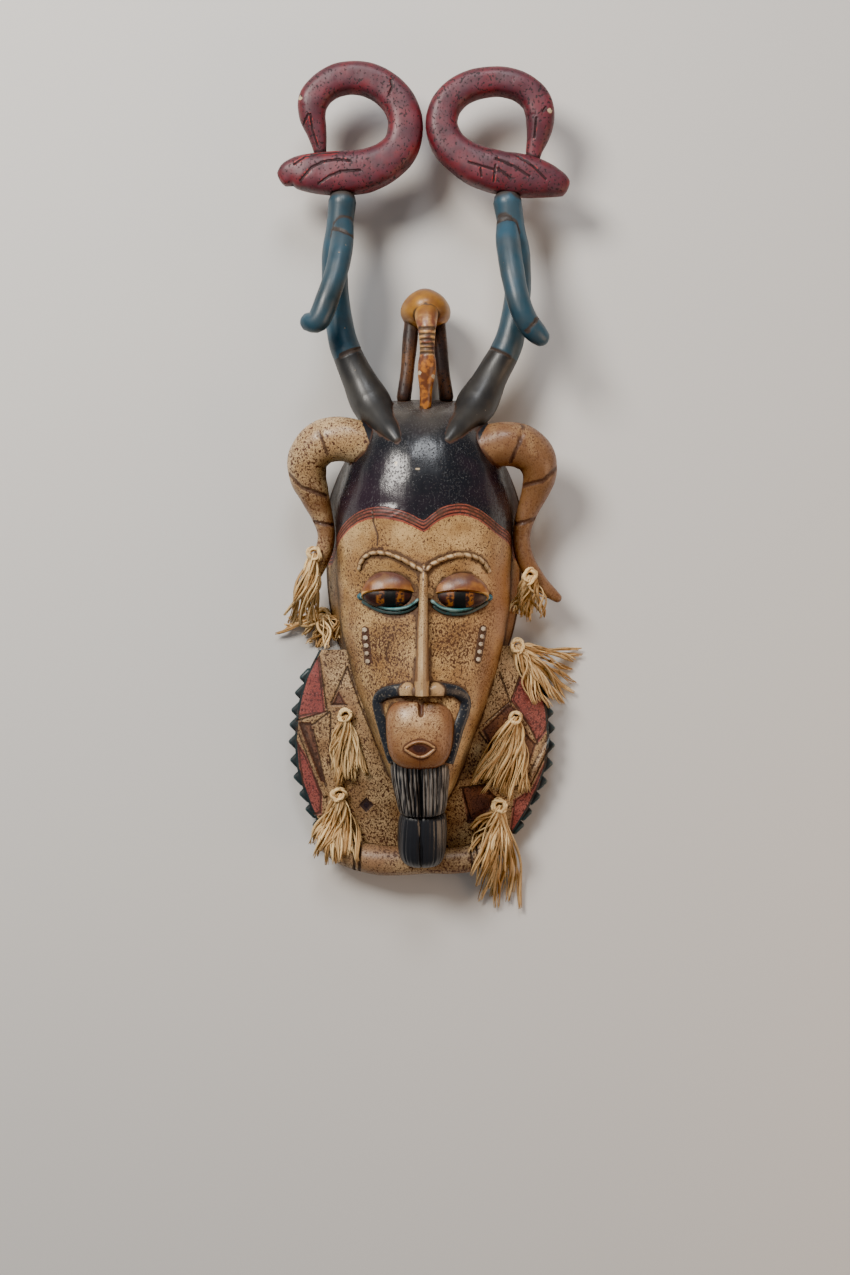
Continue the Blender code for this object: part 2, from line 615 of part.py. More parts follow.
def draped(trees, start, end, half_thickness):
    """Stations of a strand that lies over whatever is below it."""
    count = STATION_STEPS * (len(STRAND_SPREAD) - 1) + 1
    line = [start.lerp(end, number / (count - 1)) for number in range(count)]
    ground = [support(trees, point.x, point.y, DRAPE_REACH) for point in line]
    length = (end - start).length / (count - 1)
    heights = [max(level - DRAPE_SLOPE * length * abs(number - other)
                   for other, level in enumerate(ground)) for number in range(count)]
    lift = RAFFIA_GAP + half_thickness
    return [Vector((point.x, point.y, height + lift))
            for point, height in list(zip(line, heights))[::STATION_STEPS]]


def build_tassel(name, root, ends, trees, material):
    """A knot of raffia with its bunches of strands, fused where they meet in the knot."""
    start = Vector((root[0] * ACROSS, root[1] * ALONG, 0))
    level = support(trees, start.x, start.y, KNOT_RADIUS) + RAFFIA_GAP
    knot_half = KNOT_RADIUS * KNOT_SHARE
    start.z = level + knot_half
    forms = [ball(start, Vector((KNOT_RADIUS, KNOT_RADIUS, knot_half)), KNOT_SIDES)]
    for x, y in ends:
        end = Vector((x * ACROSS, y * ALONG, start.z))
        line = draped(trees, start, end, STRAND_THICKNESS / 2)
        line[0].z = start.z
        stations = [(point, STRAND_WIDTH / 2 * share, STRAND_THICKNESS / 2)
                    for point, share in zip(line, STRAND_SPREAD)]
        forms.append(tube(stations, 4))
    return joined(name, forms, material)


def centre_on_origin(pieces):
    """Hangs everything on one empty, so that the pieces' box stands centred over the origin."""
    graph = bpy.context.evaluated_depsgraph_get()
    corners = [Vector(corner) for piece in pieces for corner in piece.evaluated_get(graph).bound_box]
    anchor = bpy.data.objects.new("origin", None)
    bpy.context.scene.collection.objects.link(anchor)
    for item in bpy.data.objects:
        if item is not anchor:
            item.parent = anchor
    middle_x = (min(c.x for c in corners) + max(c.x for c in corners)) / 2
    middle_y = (min(c.y for c in corners) + max(c.y for c in corners)) / 2
    anchor.location = (-middle_x, -middle_y, -min(c.z for c in corners))


def build():
    """Clears the scene and makes the mask and its tassels."""
    for item in list(bpy.data.objects):
        bpy.data.objects.remove(item, do_unlink=True)
    paint = new_material("painted_wood", WOOD_PAINT)
    raffia = new_material("raffia", RAFFIA_FIBRE)
    pieces = [build_mask(paint)]
    trees = [surface_tree(pieces[0])]
    for name, (root, ends) in TASSELS.items():
        pieces.append(build_tassel(name, root, ends, trees, raffia))
        trees.append(surface_tree(pieces[-1]))
    centre_on_origin(pieces)


build()
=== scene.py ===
import json
from math import cos, exp, hypot, pi, radians, sin, sqrt
from random import Random

import bmesh
import bpy
import numpy as np
from mathutils import Matrix, Vector, noise
from mathutils.bvhtree import BVHTree

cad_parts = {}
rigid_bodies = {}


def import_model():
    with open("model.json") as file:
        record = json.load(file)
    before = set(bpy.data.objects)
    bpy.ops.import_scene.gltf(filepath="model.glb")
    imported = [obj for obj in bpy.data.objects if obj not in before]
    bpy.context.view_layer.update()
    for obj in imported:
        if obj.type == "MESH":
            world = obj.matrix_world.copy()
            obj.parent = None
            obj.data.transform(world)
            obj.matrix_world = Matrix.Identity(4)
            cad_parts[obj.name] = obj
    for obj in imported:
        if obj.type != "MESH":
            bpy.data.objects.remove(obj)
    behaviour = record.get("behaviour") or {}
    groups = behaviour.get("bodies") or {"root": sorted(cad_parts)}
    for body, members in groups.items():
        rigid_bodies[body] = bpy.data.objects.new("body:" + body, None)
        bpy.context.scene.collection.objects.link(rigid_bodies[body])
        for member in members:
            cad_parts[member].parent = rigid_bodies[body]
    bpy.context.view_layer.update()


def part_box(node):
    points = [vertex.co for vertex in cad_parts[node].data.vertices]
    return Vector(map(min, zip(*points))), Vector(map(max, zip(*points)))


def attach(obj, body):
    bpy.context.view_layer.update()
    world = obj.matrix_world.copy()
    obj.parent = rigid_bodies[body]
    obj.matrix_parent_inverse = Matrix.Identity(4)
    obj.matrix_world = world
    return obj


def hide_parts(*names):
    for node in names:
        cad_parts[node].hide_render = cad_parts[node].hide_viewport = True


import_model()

# The head: the face and the skull are one long arched shell of wood, the face cream and
# speckled, the skull glossy black, with a red band of three cut lines along the hair. Like every
# part it has one thin coat of paint, worn through on the edges and dirty in the cuts, and the cuts
# and corners are darkened with painted shade.
MM = 0.001
mask_low, mask_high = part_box("mask")
MIDDLE_LINE = mask_low.x + 147.12 * MM
EYE_LINE = mask_high.y - 537.47 * MM
CREAM = (0.68, 0.44, 0.19)
CREAM_DARK = (0.40, 0.215, 0.075)
PIT_BROWN = (0.090, 0.032, 0.012)
BLACK = (0.012, 0.013, 0.017)
HAIR_RED = (0.46, 0.10, 0.052)
SHELL = [
    (204, 0, 0), (203, 38, 34), (198, 54, 60), (184, 63, 86), (160, 72, 104), (130, 82, 115),
    (95, 89.5, 120), (55, 89, 119), (16, 88, 114), (-22, 84.5, 112), (-55, 78, 113),
    (-85, 70, 115), (-115, 59.5, 116), (-145, 48.5, 114), (-172, 38, 104), (-196, 27, 84),
    (-212, 15, 52), (-217, 0, 0)]
ARCH_FULLNESS = 2.4
WALL_HEIGHT = 34
WALL = 14
RIM_FLARE = 12
FLARE_SPAN = (-75, 150)
HAIRLINE = [
    (-93, 48), (-86.4, 65.2), (-80, 74), (-70, 82.5), (-59, 87.7), (-47, 89.6), (-35, 88.8),
    (-20, 85.2), (-6, 78.5), (0, 76), (6, 80.5), (16.5, 88), (29, 92), (41, 92), (54, 87.5),
    (64.6, 80.5), (74, 73.5), (85.5, 66), (92, 52)]
BAND_WIDTH = 10
BAND_CUTS = (1.6, 4.6, 7.6)
BAND_RISE = 1.3
BAND_EDGE = 0.8
BAND_CUT_SIZE = (1.1, 0.6)
FACE_PITS = 0.55
FACE_LEAN = 0.09
CRACKS = [[(-50, 86), (-49, 74), (-45, 63), (-45.5, 52)], [(-34, -42), (-37, -52), (-36, -60)]]
CRACK_SIZE = (0.8, 0.5)
SKULL_CHIPS = [(-27.2, 131.9), (-6.2, 126), (38, 174), (41, 178)]


def lay(x, y, z):
    """The point in the room at a place of the carver's layout, in millimetres."""
    return Vector((MIDDLE_LINE + x * MM, EYE_LINE + y * MM, z * MM))


def coloured(name, colour, roughness):
    """A plain material, whose colour later nodes may take over."""
    material = bpy.data.materials.new(name)
    material.use_nodes = True
    shader = material.node_tree.nodes["Principled BSDF"]
    shader.inputs["Base Color"].default_value = colour
    shader.inputs["Roughness"].default_value = roughness
    return material


def new_group(name, inputs, outputs):
    """An empty node group with named number inputs and outputs."""
    tree = bpy.data.node_groups.new(name, "ShaderNodeTree")
    for label, value in inputs.items():
        socket = tree.interface.new_socket(label, in_out="INPUT", socket_type="NodeSocketFloat")
        socket.default_value = value
    for label in outputs:
        tree.interface.new_socket(label, in_out="OUTPUT", socket_type="NodeSocketFloat")
    return tree, tree.nodes.new("NodeGroupInput"), tree.nodes.new("NodeGroupOutput")


def noisy(tree, scale, detail=2.0, stretch=(1, 1, 1), shift=(0, 0, 0)):
    """A noise value on the piece's own coordinates; the scale may be a socket."""
    coordinates = tree.nodes.new("ShaderNodeTexCoord")
    mapping = tree.nodes.new("ShaderNodeMapping")
    mapping.inputs["Scale"].default_value = stretch
    mapping.inputs["Location"].default_value = shift
    texture = tree.nodes.new("ShaderNodeTexNoise")
    texture.inputs["Detail"].default_value = detail
    tree.links.new(coordinates.outputs["Object"], mapping.inputs["Vector"])
    tree.links.new(mapping.outputs["Vector"], texture.inputs["Vector"])
    if isinstance(scale, bpy.types.NodeSocket):
        tree.links.new(scale, texture.inputs["Scale"])
    else:
        texture.inputs["Scale"].default_value = scale
    return texture.outputs["Fac"]


def worked(tree, operation, *values):
    """A math node on sockets or plain numbers."""
    node = tree.nodes.new("ShaderNodeMath")
    node.operation = operation
    for slot, value in zip(node.inputs, values):
        if isinstance(value, bpy.types.NodeSocket):
            tree.links.new(value, slot)
        else:
            slot.default_value = value
    return node.outputs["Value"]


def stepped(tree, value, low, high):
    """A soft step from nothing at low to full at high, either of which may be a socket."""
    node = tree.nodes.new("ShaderNodeMapRange")
    node.interpolation_type = "SMOOTHSTEP"
    for label, item in (("Value", value), ("From Min", low), ("From Max", high)):
        if isinstance(item, bpy.types.NodeSocket):
            tree.links.new(item, node.inputs[label])
        else:
            node.inputs[label].default_value = item
    return node.outputs["Result"]


def read(tree, name):
    """The value of one of the carving's own measures at this point."""
    node = tree.nodes.new("ShaderNodeAttribute")
    node.attribute_name = name
    return node.outputs["Fac"]


def ragged(tree, name, scale, detail, sway):
    """One of the carving's own measures, made uneven so that a coat ends in a worn edge."""
    return worked(tree, "MULTIPLY_ADD", noisy(tree, scale, detail), sway, read(tree, name))


def partly(tree, mask, share):
    """A mask at a share of its strength."""
    return worked(tree, "MULTIPLY", mask, share)


def blotch_group():
    """Uneven thickness of paint, in soft patches."""
    tree, given, made = new_group("blotches", {"Scale": 40.0, "Spread": 0.12}, ["Mask"])
    patch = noisy(tree, given.outputs["Scale"], 4.0)
    low = worked(tree, "SUBTRACT", 0.5, given.outputs["Spread"])
    high = worked(tree, "ADD", 0.5, given.outputs["Spread"])
    tree.links.new(stepped(tree, patch, low, high), made.inputs["Mask"])
    return tree


def pit_group():
    """Small pits and specks, thick in some places and thin in others."""
    tree, given, made = new_group("pits", {"Scale": 420.0, "Amount": 0.5, "Lean": 0.0}, ["Mask"])
    fine = noisy(tree, given.outputs["Scale"], 2.5, (1.0, 0.75, 1.0))
    broad = noisy(tree, 26.0, 2.0, shift=(3.1, 0.4, 1.7))
    lean = read(tree, "lean")
    crowd = worked(tree, "MULTIPLY_ADD", broad, 0.22, -0.11)
    crowd = worked(tree, "MULTIPLY_ADD", lean, given.outputs["Lean"], crowd)
    level = worked(tree, "MULTIPLY_ADD", given.outputs["Amount"], 0.25, crowd)
    edge = worked(tree, "SUBTRACT", 0.72, level)
    tree.links.new(stepped(tree, fine, edge, worked(tree, "ADD", edge, 0.045)), made.inputs["Mask"])
    return tree


def wear_group():
    """Paint rubbed off the edges that stand proud."""
    tree, given, made = new_group("wear", {"Amount": 0.5}, ["Mask"])
    proud = ragged(tree, "edge", 90.0, 5.0, 0.9)
    low = worked(tree, "SUBTRACT", 1.6, given.outputs["Amount"])
    tree.links.new(stepped(tree, proud, low, worked(tree, "ADD", low, 0.3)), made.inputs["Mask"])
    return tree


def grime_group():
    """Dirt and dark wax that stays in cuts and corners, and painted shade that darkens them."""
    tree, given, made = new_group("grime", {"Amount": 0.5, "Lines": 0.9}, ["Mask"])
    # Painted shade and dirt: concave corners and the cut lines are darkened.
    deep = ragged(tree, "hollow", 160.0, 3.0, 0.4)
    low = worked(tree, "SUBTRACT", 0.95, given.outputs["Amount"])
    corner = partly(tree, stepped(tree, deep, low, worked(tree, "ADD", low, 0.45)), 0.85)
    cut = ragged(tree, "cut", 400.0, 2.0, 0.7)
    cut = partly(tree, stepped(tree, cut, 1.15, 0.65), given.outputs["Lines"])
    tree.links.new(worked(tree, "MAXIMUM", corner, cut), made.inputs["Mask"])
    return tree


def chip_group():
    """A few larger flakes and flyspecks."""
    tree, given, made = new_group("chips", {"Scale": 120.0, "Amount": 0.5}, ["Mask"])
    flake = noisy(tree, given.outputs["Scale"], 3.0, shift=(7.0, 2.0, 5.0))
    edge = worked(tree, "MULTIPLY_ADD", given.outputs["Amount"], -0.16, 0.82)
    tree.links.new(stepped(tree, flake, edge, worked(tree, "ADD", edge, 0.02)), made.inputs["Mask"])
    return tree


def grain_group():
    """The fine lengthwise grain and brush strokes that show through the coat."""
    tree, given, made = new_group("grain", {"Scale": 60.0}, ["Value"])
    tree.links.new(noisy(tree, given.outputs["Scale"], 3.0, (3.2, 0.35, 2.0)), made.inputs["Value"])
    return tree


BLOTCHES = blotch_group()
PITS = pit_group()
WEAR = wear_group()
GRIME_AND_SHADE = grime_group()
CHIPS = chip_group()
GRAIN = grain_group()
paints = []


def effect(tree, group, output="Mask", **values):
    """One of the shared effects, set for this paint."""
    node = tree.nodes.new("ShaderNodeGroup")
    node.node_tree = group
    for label, value in values.items():
        node.inputs[label].default_value = value
    return node.outputs[output]


def over(tree, under, colour, mask):
    """One colour laid over another through a mask."""
    node = tree.nodes.new("ShaderNodeMix")
    node.data_type = "RGBA"
    tree.links.new(mask, node.inputs["Factor"])
    for slot, value in ((node.inputs["A"], under), (node.inputs["B"], colour)):
        if isinstance(value, bpy.types.NodeSocket):
            tree.links.new(value, slot)
        else:
            slot.default_value = (*value, 1)
    return node.outputs["Result"]


def patched(tree, under, colour, scale, spread=0.12):
    """Soft patches of one colour over another."""
    return over(tree, under, colour, effect(tree, BLOTCHES, Scale=scale, Spread=spread))


def speckled(tree, colour, pit, blotch, amount=0.5, lean=0.0, size=560.0):
    """A coat of one colour with uneven patches and dark pits; gives its colour and pit mask."""
    patches = effect(tree, BLOTCHES, Scale=34.0, Spread=0.16)
    pits = effect(tree, PITS, Scale=size, Amount=amount, Lean=lean)
    fine = partly(tree, effect(tree, PITS, Scale=2.1 * size, Amount=amount + 0.25, Lean=lean), 0.6)
    colour = over(tree, over(tree, colour, blotch, patches), pit, fine)
    return over(tree, colour, pit, pits), pits


def finish_paint(name, build, roughness=0.45, rough_spread=0.12, grime=(0.05, 0.03, 0.02),
                 grime_amount=0.5, worn=None, worn_amount=0.5, relief=0.0004, coat=0.0, lines=0.9):
    """A paint: build(tree) gives the colour and the mask of what lies lower in the coat."""
    material = coloured(name, (0.5, 0.5, 0.5, 1), roughness)
    tree = material.node_tree
    shader = tree.nodes["Principled BSDF"]
    colour, low = build(tree)
    if worn:
        colour = over(tree, colour, worn, effect(tree, WEAR, Amount=worn_amount))
    # Dirt and painted shade: the cuts and corners take the grime colour.
    dirt_and_shade = effect(tree, GRIME_AND_SHADE, Amount=grime_amount, Lines=lines)
    colour = over(tree, colour, grime, dirt_and_shade)
    tree.links.new(colour, shader.inputs["Base Color"])
    patch = noisy(tree, 70.0, 3.0, shift=(1, 5, 2))
    gloss = worked(tree, "MULTIPLY_ADD", patch, 2 * rough_spread, roughness - rough_spread)
    gloss = worked(tree, "MULTIPLY_ADD", dirt_and_shade, 0.25, gloss)
    tree.links.new(worked(tree, "MULTIPLY_ADD", low, 0.2, gloss), shader.inputs["Roughness"])
    shader.inputs["Coat Weight"].default_value = coat
    shader.inputs["Coat Roughness"].default_value = 0.22
    height = worked(tree, "MULTIPLY_ADD", low, -1.0, effect(tree, GRAIN, "Value", Scale=60.0))
    height = worked(tree, "MULTIPLY_ADD", noisy(tree, 600.0, 2.0), 0.25, height)
    bump = tree.nodes.new("ShaderNodeBump")
    bump.inputs["Distance"].default_value = relief
    bump.inputs["Strength"].default_value = 0.6
    tree.links.new(height, bump.inputs["Height"])
    tree.links.new(bump.outputs["Normal"], shader.inputs["Normal"])
    paints.append(material)
    return len(paints) - 1


def speckled_paint(name, coat_colours, amount, roughness, rough_spread=0.08, size=560.0, **finish):
    """A paint of one speckled coat; its three colours are the coat's, the pits' and the patches'."""
    return finish_paint(name, lambda tree: speckled(tree, *coat_colours, amount, 0.0, size),
                        roughness, rough_spread, **finish)


def flow(knots, spans):
    """Points on a smooth curve through the knots, with so many spans between each two."""
    points = []
    last = len(knots) - 1
    for index in range(last):
        four = [knots[max(index - 1, 0)], knots[index], knots[index + 1], knots[min(index + 2, last)]]
        for part in range(spans):
            t = part / spans
            points.append(tuple(
                b + 0.5 * t * (c - a + t * (2 * a - 5 * b + 4 * c - d + t * (3 * (b - c) + d - a)))
                for a, b, c, d in zip(*four)))
    points.append(tuple(knots[last]))
    return points


SHELL_ROWS = np.array(flow(SHELL, 2))
HAIR_ROWS = np.array(flow(HAIRLINE, 4))


def shell_height(x, y):
    """The height of the plain shell over a place of the layout."""
    half = np.interp(-y, -SHELL_ROWS[:, 0], SHELL_ROWS[:, 1])
    height = np.interp(-y, -SHELL_ROWS[:, 0], SHELL_ROWS[:, 2])
    share = min(abs(x) / max(half, 1), 0.985)
    wall = min(WALL_HEIGHT, 0.5 * height)
    return wall + (height - wall) * sqrt(1 - share ** ARCH_FULLNESS)


def hair_distance(x, y):
    """How far above the hairline a place lies."""
    return (y - np.interp(x, HAIR_ROWS[:, 0], HAIR_ROWS[:, 1])) * 0.9


def face_relief(x, y):
    """The soft modelling of the face over the plain shell."""
    side = abs(x)
    socket = -4.5 * exp(-(((side - 34) / 30) ** 2 + ((y - 8) / 20) ** 2) ** 1.6)
    bridge = 5.5 * exp(-(side / 10) ** 1.5) * min(max((y + 100) / 20, 0), 1)
    bridge *= min(max((45 - y) / 25, 0), 1)
    cheek = -2.5 * exp(-(((side - 46) / 22) ** 2 + ((y + 72) / 42) ** 2))
    mouth = -2.0 * exp(-((x / 40) ** 2 + ((y + 130) / 42) ** 2) ** 2)
    hair = hair_distance(x, y)
    band = BAND_RISE / (1 + exp(-(hair + BAND_WIDTH) / BAND_EDGE))
    return socket + bridge + cheek + mouth + band - BAND_RISE * (1 / (1 + exp(-hair / BAND_EDGE)))


def flare_share(y):
    """How much of the rim's flare a row has."""
    low, high = FLARE_SPAN
    return sin(pi * min(max((y - low) / (high - low), 0), 1)) ** 0.5


def close_up(form):
    """Joins a seam, caps open ends and turns every face outward."""
    bmesh.ops.remove_doubles(form, verts=form.verts, dist=1e-6)
    bmesh.ops.dissolve_degenerate(form, edges=form.edges, dist=1e-6)
    bmesh.ops.holes_fill(form, edges=form.edges)
    bmesh.ops.recalc_face_normals(form, faces=form.faces)


def arch(rows, arch_columns, wall_columns, foot, relief=None):
    """A closed arched body through rows (y, half width, height, flare), flat below."""
    form = bmesh.new()
    last = len(rows) - 1
    columns = arch_columns + 2 * wall_columns
    bmesh.ops.create_grid(form, x_segments=columns, y_segments=last, size=1.0)
    for vert in form.verts:
        column = round((vert.co.x + 1) / 2 * columns)
        y, half, height, flare = rows[round((1 - vert.co.y) / 2 * last)]
        wall = min(WALL_HEIGHT, 0.5 * height)
        across = min(max((column - wall_columns) / arch_columns * 2 - 1, -1), 1)
        down = max(wall_columns - column, column - wall_columns - arch_columns, 0) / wall_columns
        side = (1 if across > 0 else -1) * abs(sin(pi / 2 * across)) ** (2 / ARCH_FULLNESS)
        rise = wall + (height - wall) * max(cos(pi / 2 * across), 0)
        if half == 0:
            down = 1
        level = rise + (foot - rise) * down
        x = side * (half + flare * down)
        if relief and down == 0:
            level += relief(x, y)
        vert.co = lay(x, y, level)
    close_up(form)
    return form


def shell_form():
    """The head's arched body, densely laid out, with the soft modelling of the face."""
    rows = [(y, half, height, RIM_FLARE * flare_share(y) * (half > 0))
            for y, half, height in flow(SHELL, 10)]
    return arch(rows, 104, 4, 0, face_relief)


def hollow_form():
    """The space cut out behind the face, one wall's thickness inside it."""
    rows = [(y, half - WALL, height - WALL, RIM_FLARE * flare_share(y))
            for y, half, height in flow(SHELL, 4) if min(half, height) > 2 * WALL]
    crown = (rows[0][0], 0, 0, 0)
    chin = (rows[-1][0] - 0.3 * WALL, 0, 0, 0)
    rows[0] = (rows[0][0] - 0.5 * WALL,) + rows[0][1:]
    return arch([crown] + rows + [chin], 40, 8, -WALL)


def near(points, lines):
    """The distance in the layout from each point to the nearest of some lines."""
    best = np.full(len(points), 1e9)
    for line in lines:
        knots = np.array(line, dtype=float)
        for start, end in zip(knots, knots[1:]):
            run = end - start
            share = np.clip(((points - start) @ run) / max(run @ run, 1e-9), 0, 1)
            best = np.minimum(best, np.linalg.norm(points - start - share[:, None] * run, axis=1))
    return best


def layout_of(form):
    """The layout places of a form's points."""
    return np.array([((v.co.x - MIDDLE_LINE) / MM, (v.co.y - EYE_LINE) / MM) for v in form.verts])


def incise(form, lines, half_width, depth, finer=1, front=0.2, marked=True):
    """Cuts narrow grooves along lines into the side of a form that faces up, and notes marked ones."""
    if marked:
        cut_lines.extend(lines)
    for _ in range(finer):
        form.verts.ensure_lookup_table()
        distance = near(layout_of(form), lines)
        form.verts.index_update()
        form.normal_update()
        close = [edge for edge in form.edges
                 if min(distance[edge.verts[0].index], distance[edge.verts[1].index]) < 1.6 * half_width
                 and edge.verts[0].normal.z > 0 and edge.calc_length() > 0.8 * MM]
        bmesh.ops.subdivide_edges(form, edges=close, cuts=1, use_grid_fill=True)
    form.normal_update()
    distance = near(layout_of(form), lines)
    for vert, gap in zip(list(form.verts), distance):
        if gap < half_width and vert.normal.z > front:
            vert.co -= vert.normal * depth * MM * (1 - (gap / half_width) ** 2)


def hair_cut(form):
    """The three cut lines of the hair band."""
    hair = [[(x, y - cut) for x, y in HAIR_ROWS] for cut in BAND_CUTS]
    incise(form, hair, *BAND_CUT_SIZE, marked=False)


def head_colour(tree):
    """Cream face, red band and black skull, parted by the distance from the hairline."""
    cream, pits = speckled(tree, CREAM, PIT_BROWN, CREAM_DARK, FACE_PITS, FACE_LEAN)
    # Darker orange brown over the right of the face: partly the paint's own tone, partly painted shade
    # and reflected warm light.
    warm = stepped(tree, read(tree, "warm"), 0.0, 1.0)
    cream = over(tree, cream, (0.36, 0.13, 0.035), partly(tree, warm, 0.7))
    scar = ragged(tree, "scar", 300.0, 2.0, 1.5)
    cream = over(tree, cream, (0.085, 0.034, 0.018), stepped(tree, scar, 5.2, 4.2))
    hair = ragged(tree, "hair", 140.0, 2.0, 1.2)
    red, _ = speckled(tree, HAIR_RED, (0.10, 0.035, 0.03), (0.27, 0.06, 0.04), 0.5)
    for line in BAND_CUTS:
        away = worked(tree, "ABSOLUTE", worked(tree, "ADD", hair, line - 0.6))
        red = over(tree, red, (0.040, 0.012, 0.012), stepped(tree, away, 1.0, 0.5))
    colour = over(tree, cream, red, stepped(tree, hair, 0.2 - BAND_WIDTH, 0.8 - BAND_WIDTH))
    black = patched(tree, BLACK, (0.026, 0.016, 0.024), 14.0)
    black = over(tree, black, (0.30, 0.27, 0.22), effect(tree, CHIPS, Scale=260.0, Amount=0.10))
    black = over(tree, black, (0.62, 0.48, 0.30), stepped(tree, read(tree, "chip"), 2.6, 2.0))
    dust = partly(tree, stepped(tree, read(tree, "crown"), 0.0, 1.0),
                  noisy(tree, 60.0, 4.0))
    black = over(tree, black, (0.13, 0.115, 0.095), dust)
    skull = stepped(tree, hair, 0.4, 1.0)
    colour = over(tree, colour, black, skull)
    # Painted shade: where the surface turns sideways, away from the front, the head is darkened to near
    # black brown.
    wall = ragged(tree, "up", 40.0, 3.0, 0.3)
    wall = partly(tree, stepped(tree, wall, 0.58, 0.22), 0.9)
    low = worked(tree, "ADD", worked(tree, "SUBTRACT", pits, skull), partly(tree, wall, 2.0))
    return over(tree, colour, (0.030, 0.016, 0.010), wall), low


HEAD_PAINT = finish_paint("head_paint", head_colour, 0.42, 0.07, grime=(0.07, 0.028, 0.014),
                          grime_amount=0.42, coat=0.04)
RAW_WOOD = speckled_paint(
    "raw_wood", ((0.23, 0.145, 0.075), (0.06, 0.035, 0.02), (0.15, 0.09, 0.05)),
    0.5, 0.8, 0.1)
carving = []
cut_lines = []


def carve(form, paint):
    """Adds a finished form, in its paint, to those that the mask is carved from."""
    for face in form.faces:
        face.material_index = paint
        face.smooth = True
    carving.append(form)


head = shell_form()
hair_cut(head)
incise(head, CRACKS, *CRACK_SIZE, 2)
carve(head, HEAD_PAINT)


# The two tall horns: round limbs that rise from the skull, dusty black at the foot up to a cut
# ring, then worn teal blue, with one more ring below the birds. Each carries a forward tine.
TEAL = (0.018, 0.060, 0.092)
TEAL_WORN = (0.045, 0.050, 0.050)
HORN_RADIUS = 13.5
HORN_CUT_SIZE = (1.5, 1.2)
LEFT_HORN = [
    (-80, 413, 62, 1.08, 1.08), (-84, 375, 60, 1.0, 1.0), (-89, 345.8, 56, 0.97, 1.0),
    (-89.4, 316.4, 52, 0.97, 1.0), (-86.4, 286.6, 50, 1.0, 1.05), (-80.4, 256.5, 50, 1.1, 1.15),
    (-67.3, 225.3, 50, 1.22, 1.3), (-52.3, 196.2, 54, 1.5, 1.6), (-40, 176, 74, 1.05, 1.15),
    (-31, 163, 91, 0.75, 0.8), (-23, 151, 102, 0.3, 0.35)]
RIGHT_HORN = [
    (81, 413, 62, 1.08, 1.08), (87, 375, 60, 1.0, 1.0), (93.2, 345.8, 56, 0.97, 1.0),
    (94.4, 316.4, 52, 0.97, 1.0), (91.4, 286.6, 50, 1.0, 1.05), (84.4, 256.5, 50, 1.1, 1.15),
    (68.3, 225.3, 50, 1.22, 1.3), (52.3, 196.2, 54, 1.5, 1.6), (39, 176, 74, 1.05, 1.15),
    (29, 163, 91, 0.75, 0.8), (20, 151, 102, 0.3, 0.35)]
TINE_RADIUS = 11.5
LEFT_TINE = [
    (-79.8, 382, 62, 0.8, 0.8), (-81.3, 354.4, 78, 1.0, 1.0), (-85.7, 324.5, 91, 1.0, 1.0),
    (-94.2, 296.7, 97, 1.0, 1.0), (-103, 275, 97, 1.0, 1.0), (-112, 272.5, 94, 0.85, 0.85),
    (-120, 277, 91, 0.6, 0.6)]
RIGHT_TINE = [
    (81.8, 384, 62, 0.8, 0.8), (83.3, 354.4, 78, 1.05, 1.0), (86.7, 324.5, 91, 1.05, 1.0),
    (92.3, 295.7, 97, 1.0, 1.0), (100.1, 274, 97, 1.0, 1.0), (111.2, 261, 93, 0.9, 0.9),
    (122, 253, 88, 0.6, 0.6)]
FOOT_RINGS = [[(-84, 243), (-70, 249), (-52, 257)], [(53, 259), (68, 252), (86, 243)]]
TINE_RINGS = [[(-94, 369), (-82, 365), (-68, 358)], [(66, 373), (82, 378), (92, 377)],
              [(100, 262), (107, 268), (112, 276)]]


def even_rows(knots, spacing):
    """Rows evenly spaced along a smooth curve through the knots, and their distances along it."""
    dense = np.array(flow(knots, 12))
    runs = np.linalg.norm(np.diff(dense[:, :3], axis=0), axis=1)
    length = np.concatenate([[0], np.cumsum(runs)])
    count = max(int(length[-1] / spacing), 3)
    even = np.linspace(0, length[-1], count + 1)
    return np.column_stack([np.interp(even, length, column) for column in dense.T]), even


def domed(rows, along, blunt):
    """Rows whose two ends are rounded within their length; blunt is the ends' depth per width."""
    size = np.minimum(rows[:, 3], rows[:, 4]) * blunt
    from_end = along[-1] - along
    inner = (along >= size) & (from_end >= size)
    first, last = np.argmax(inner), len(inner) - 1 - np.argmax(inner[::-1])
    start, end = rows[first].copy(), rows[last].copy()
    ahead = (rows[first + 1] - rows[first])[:3]
    behind = (rows[last] - rows[last - 1])[:3]
    head_rows, tail_rows = [], []
    for turn in (radians(80), radians(58), radians(32)):
        for row, way, made in ((start, -ahead, head_rows), (end, behind, tail_rows)):
            cap = row.copy()
            cap[:3] += way / np.linalg.norm(way) * min(row[3], row[4]) * sin(turn) * blunt
            cap[3:] *= cos(turn)
            made.append(cap)
    body = list(rows[first:last + 1])
    places = list(along[first:last + 1])
    return (np.array(head_rows + body + tail_rows[::-1]),
            np.array([places[0]] * 3 + places + [places[-1]] * 3))


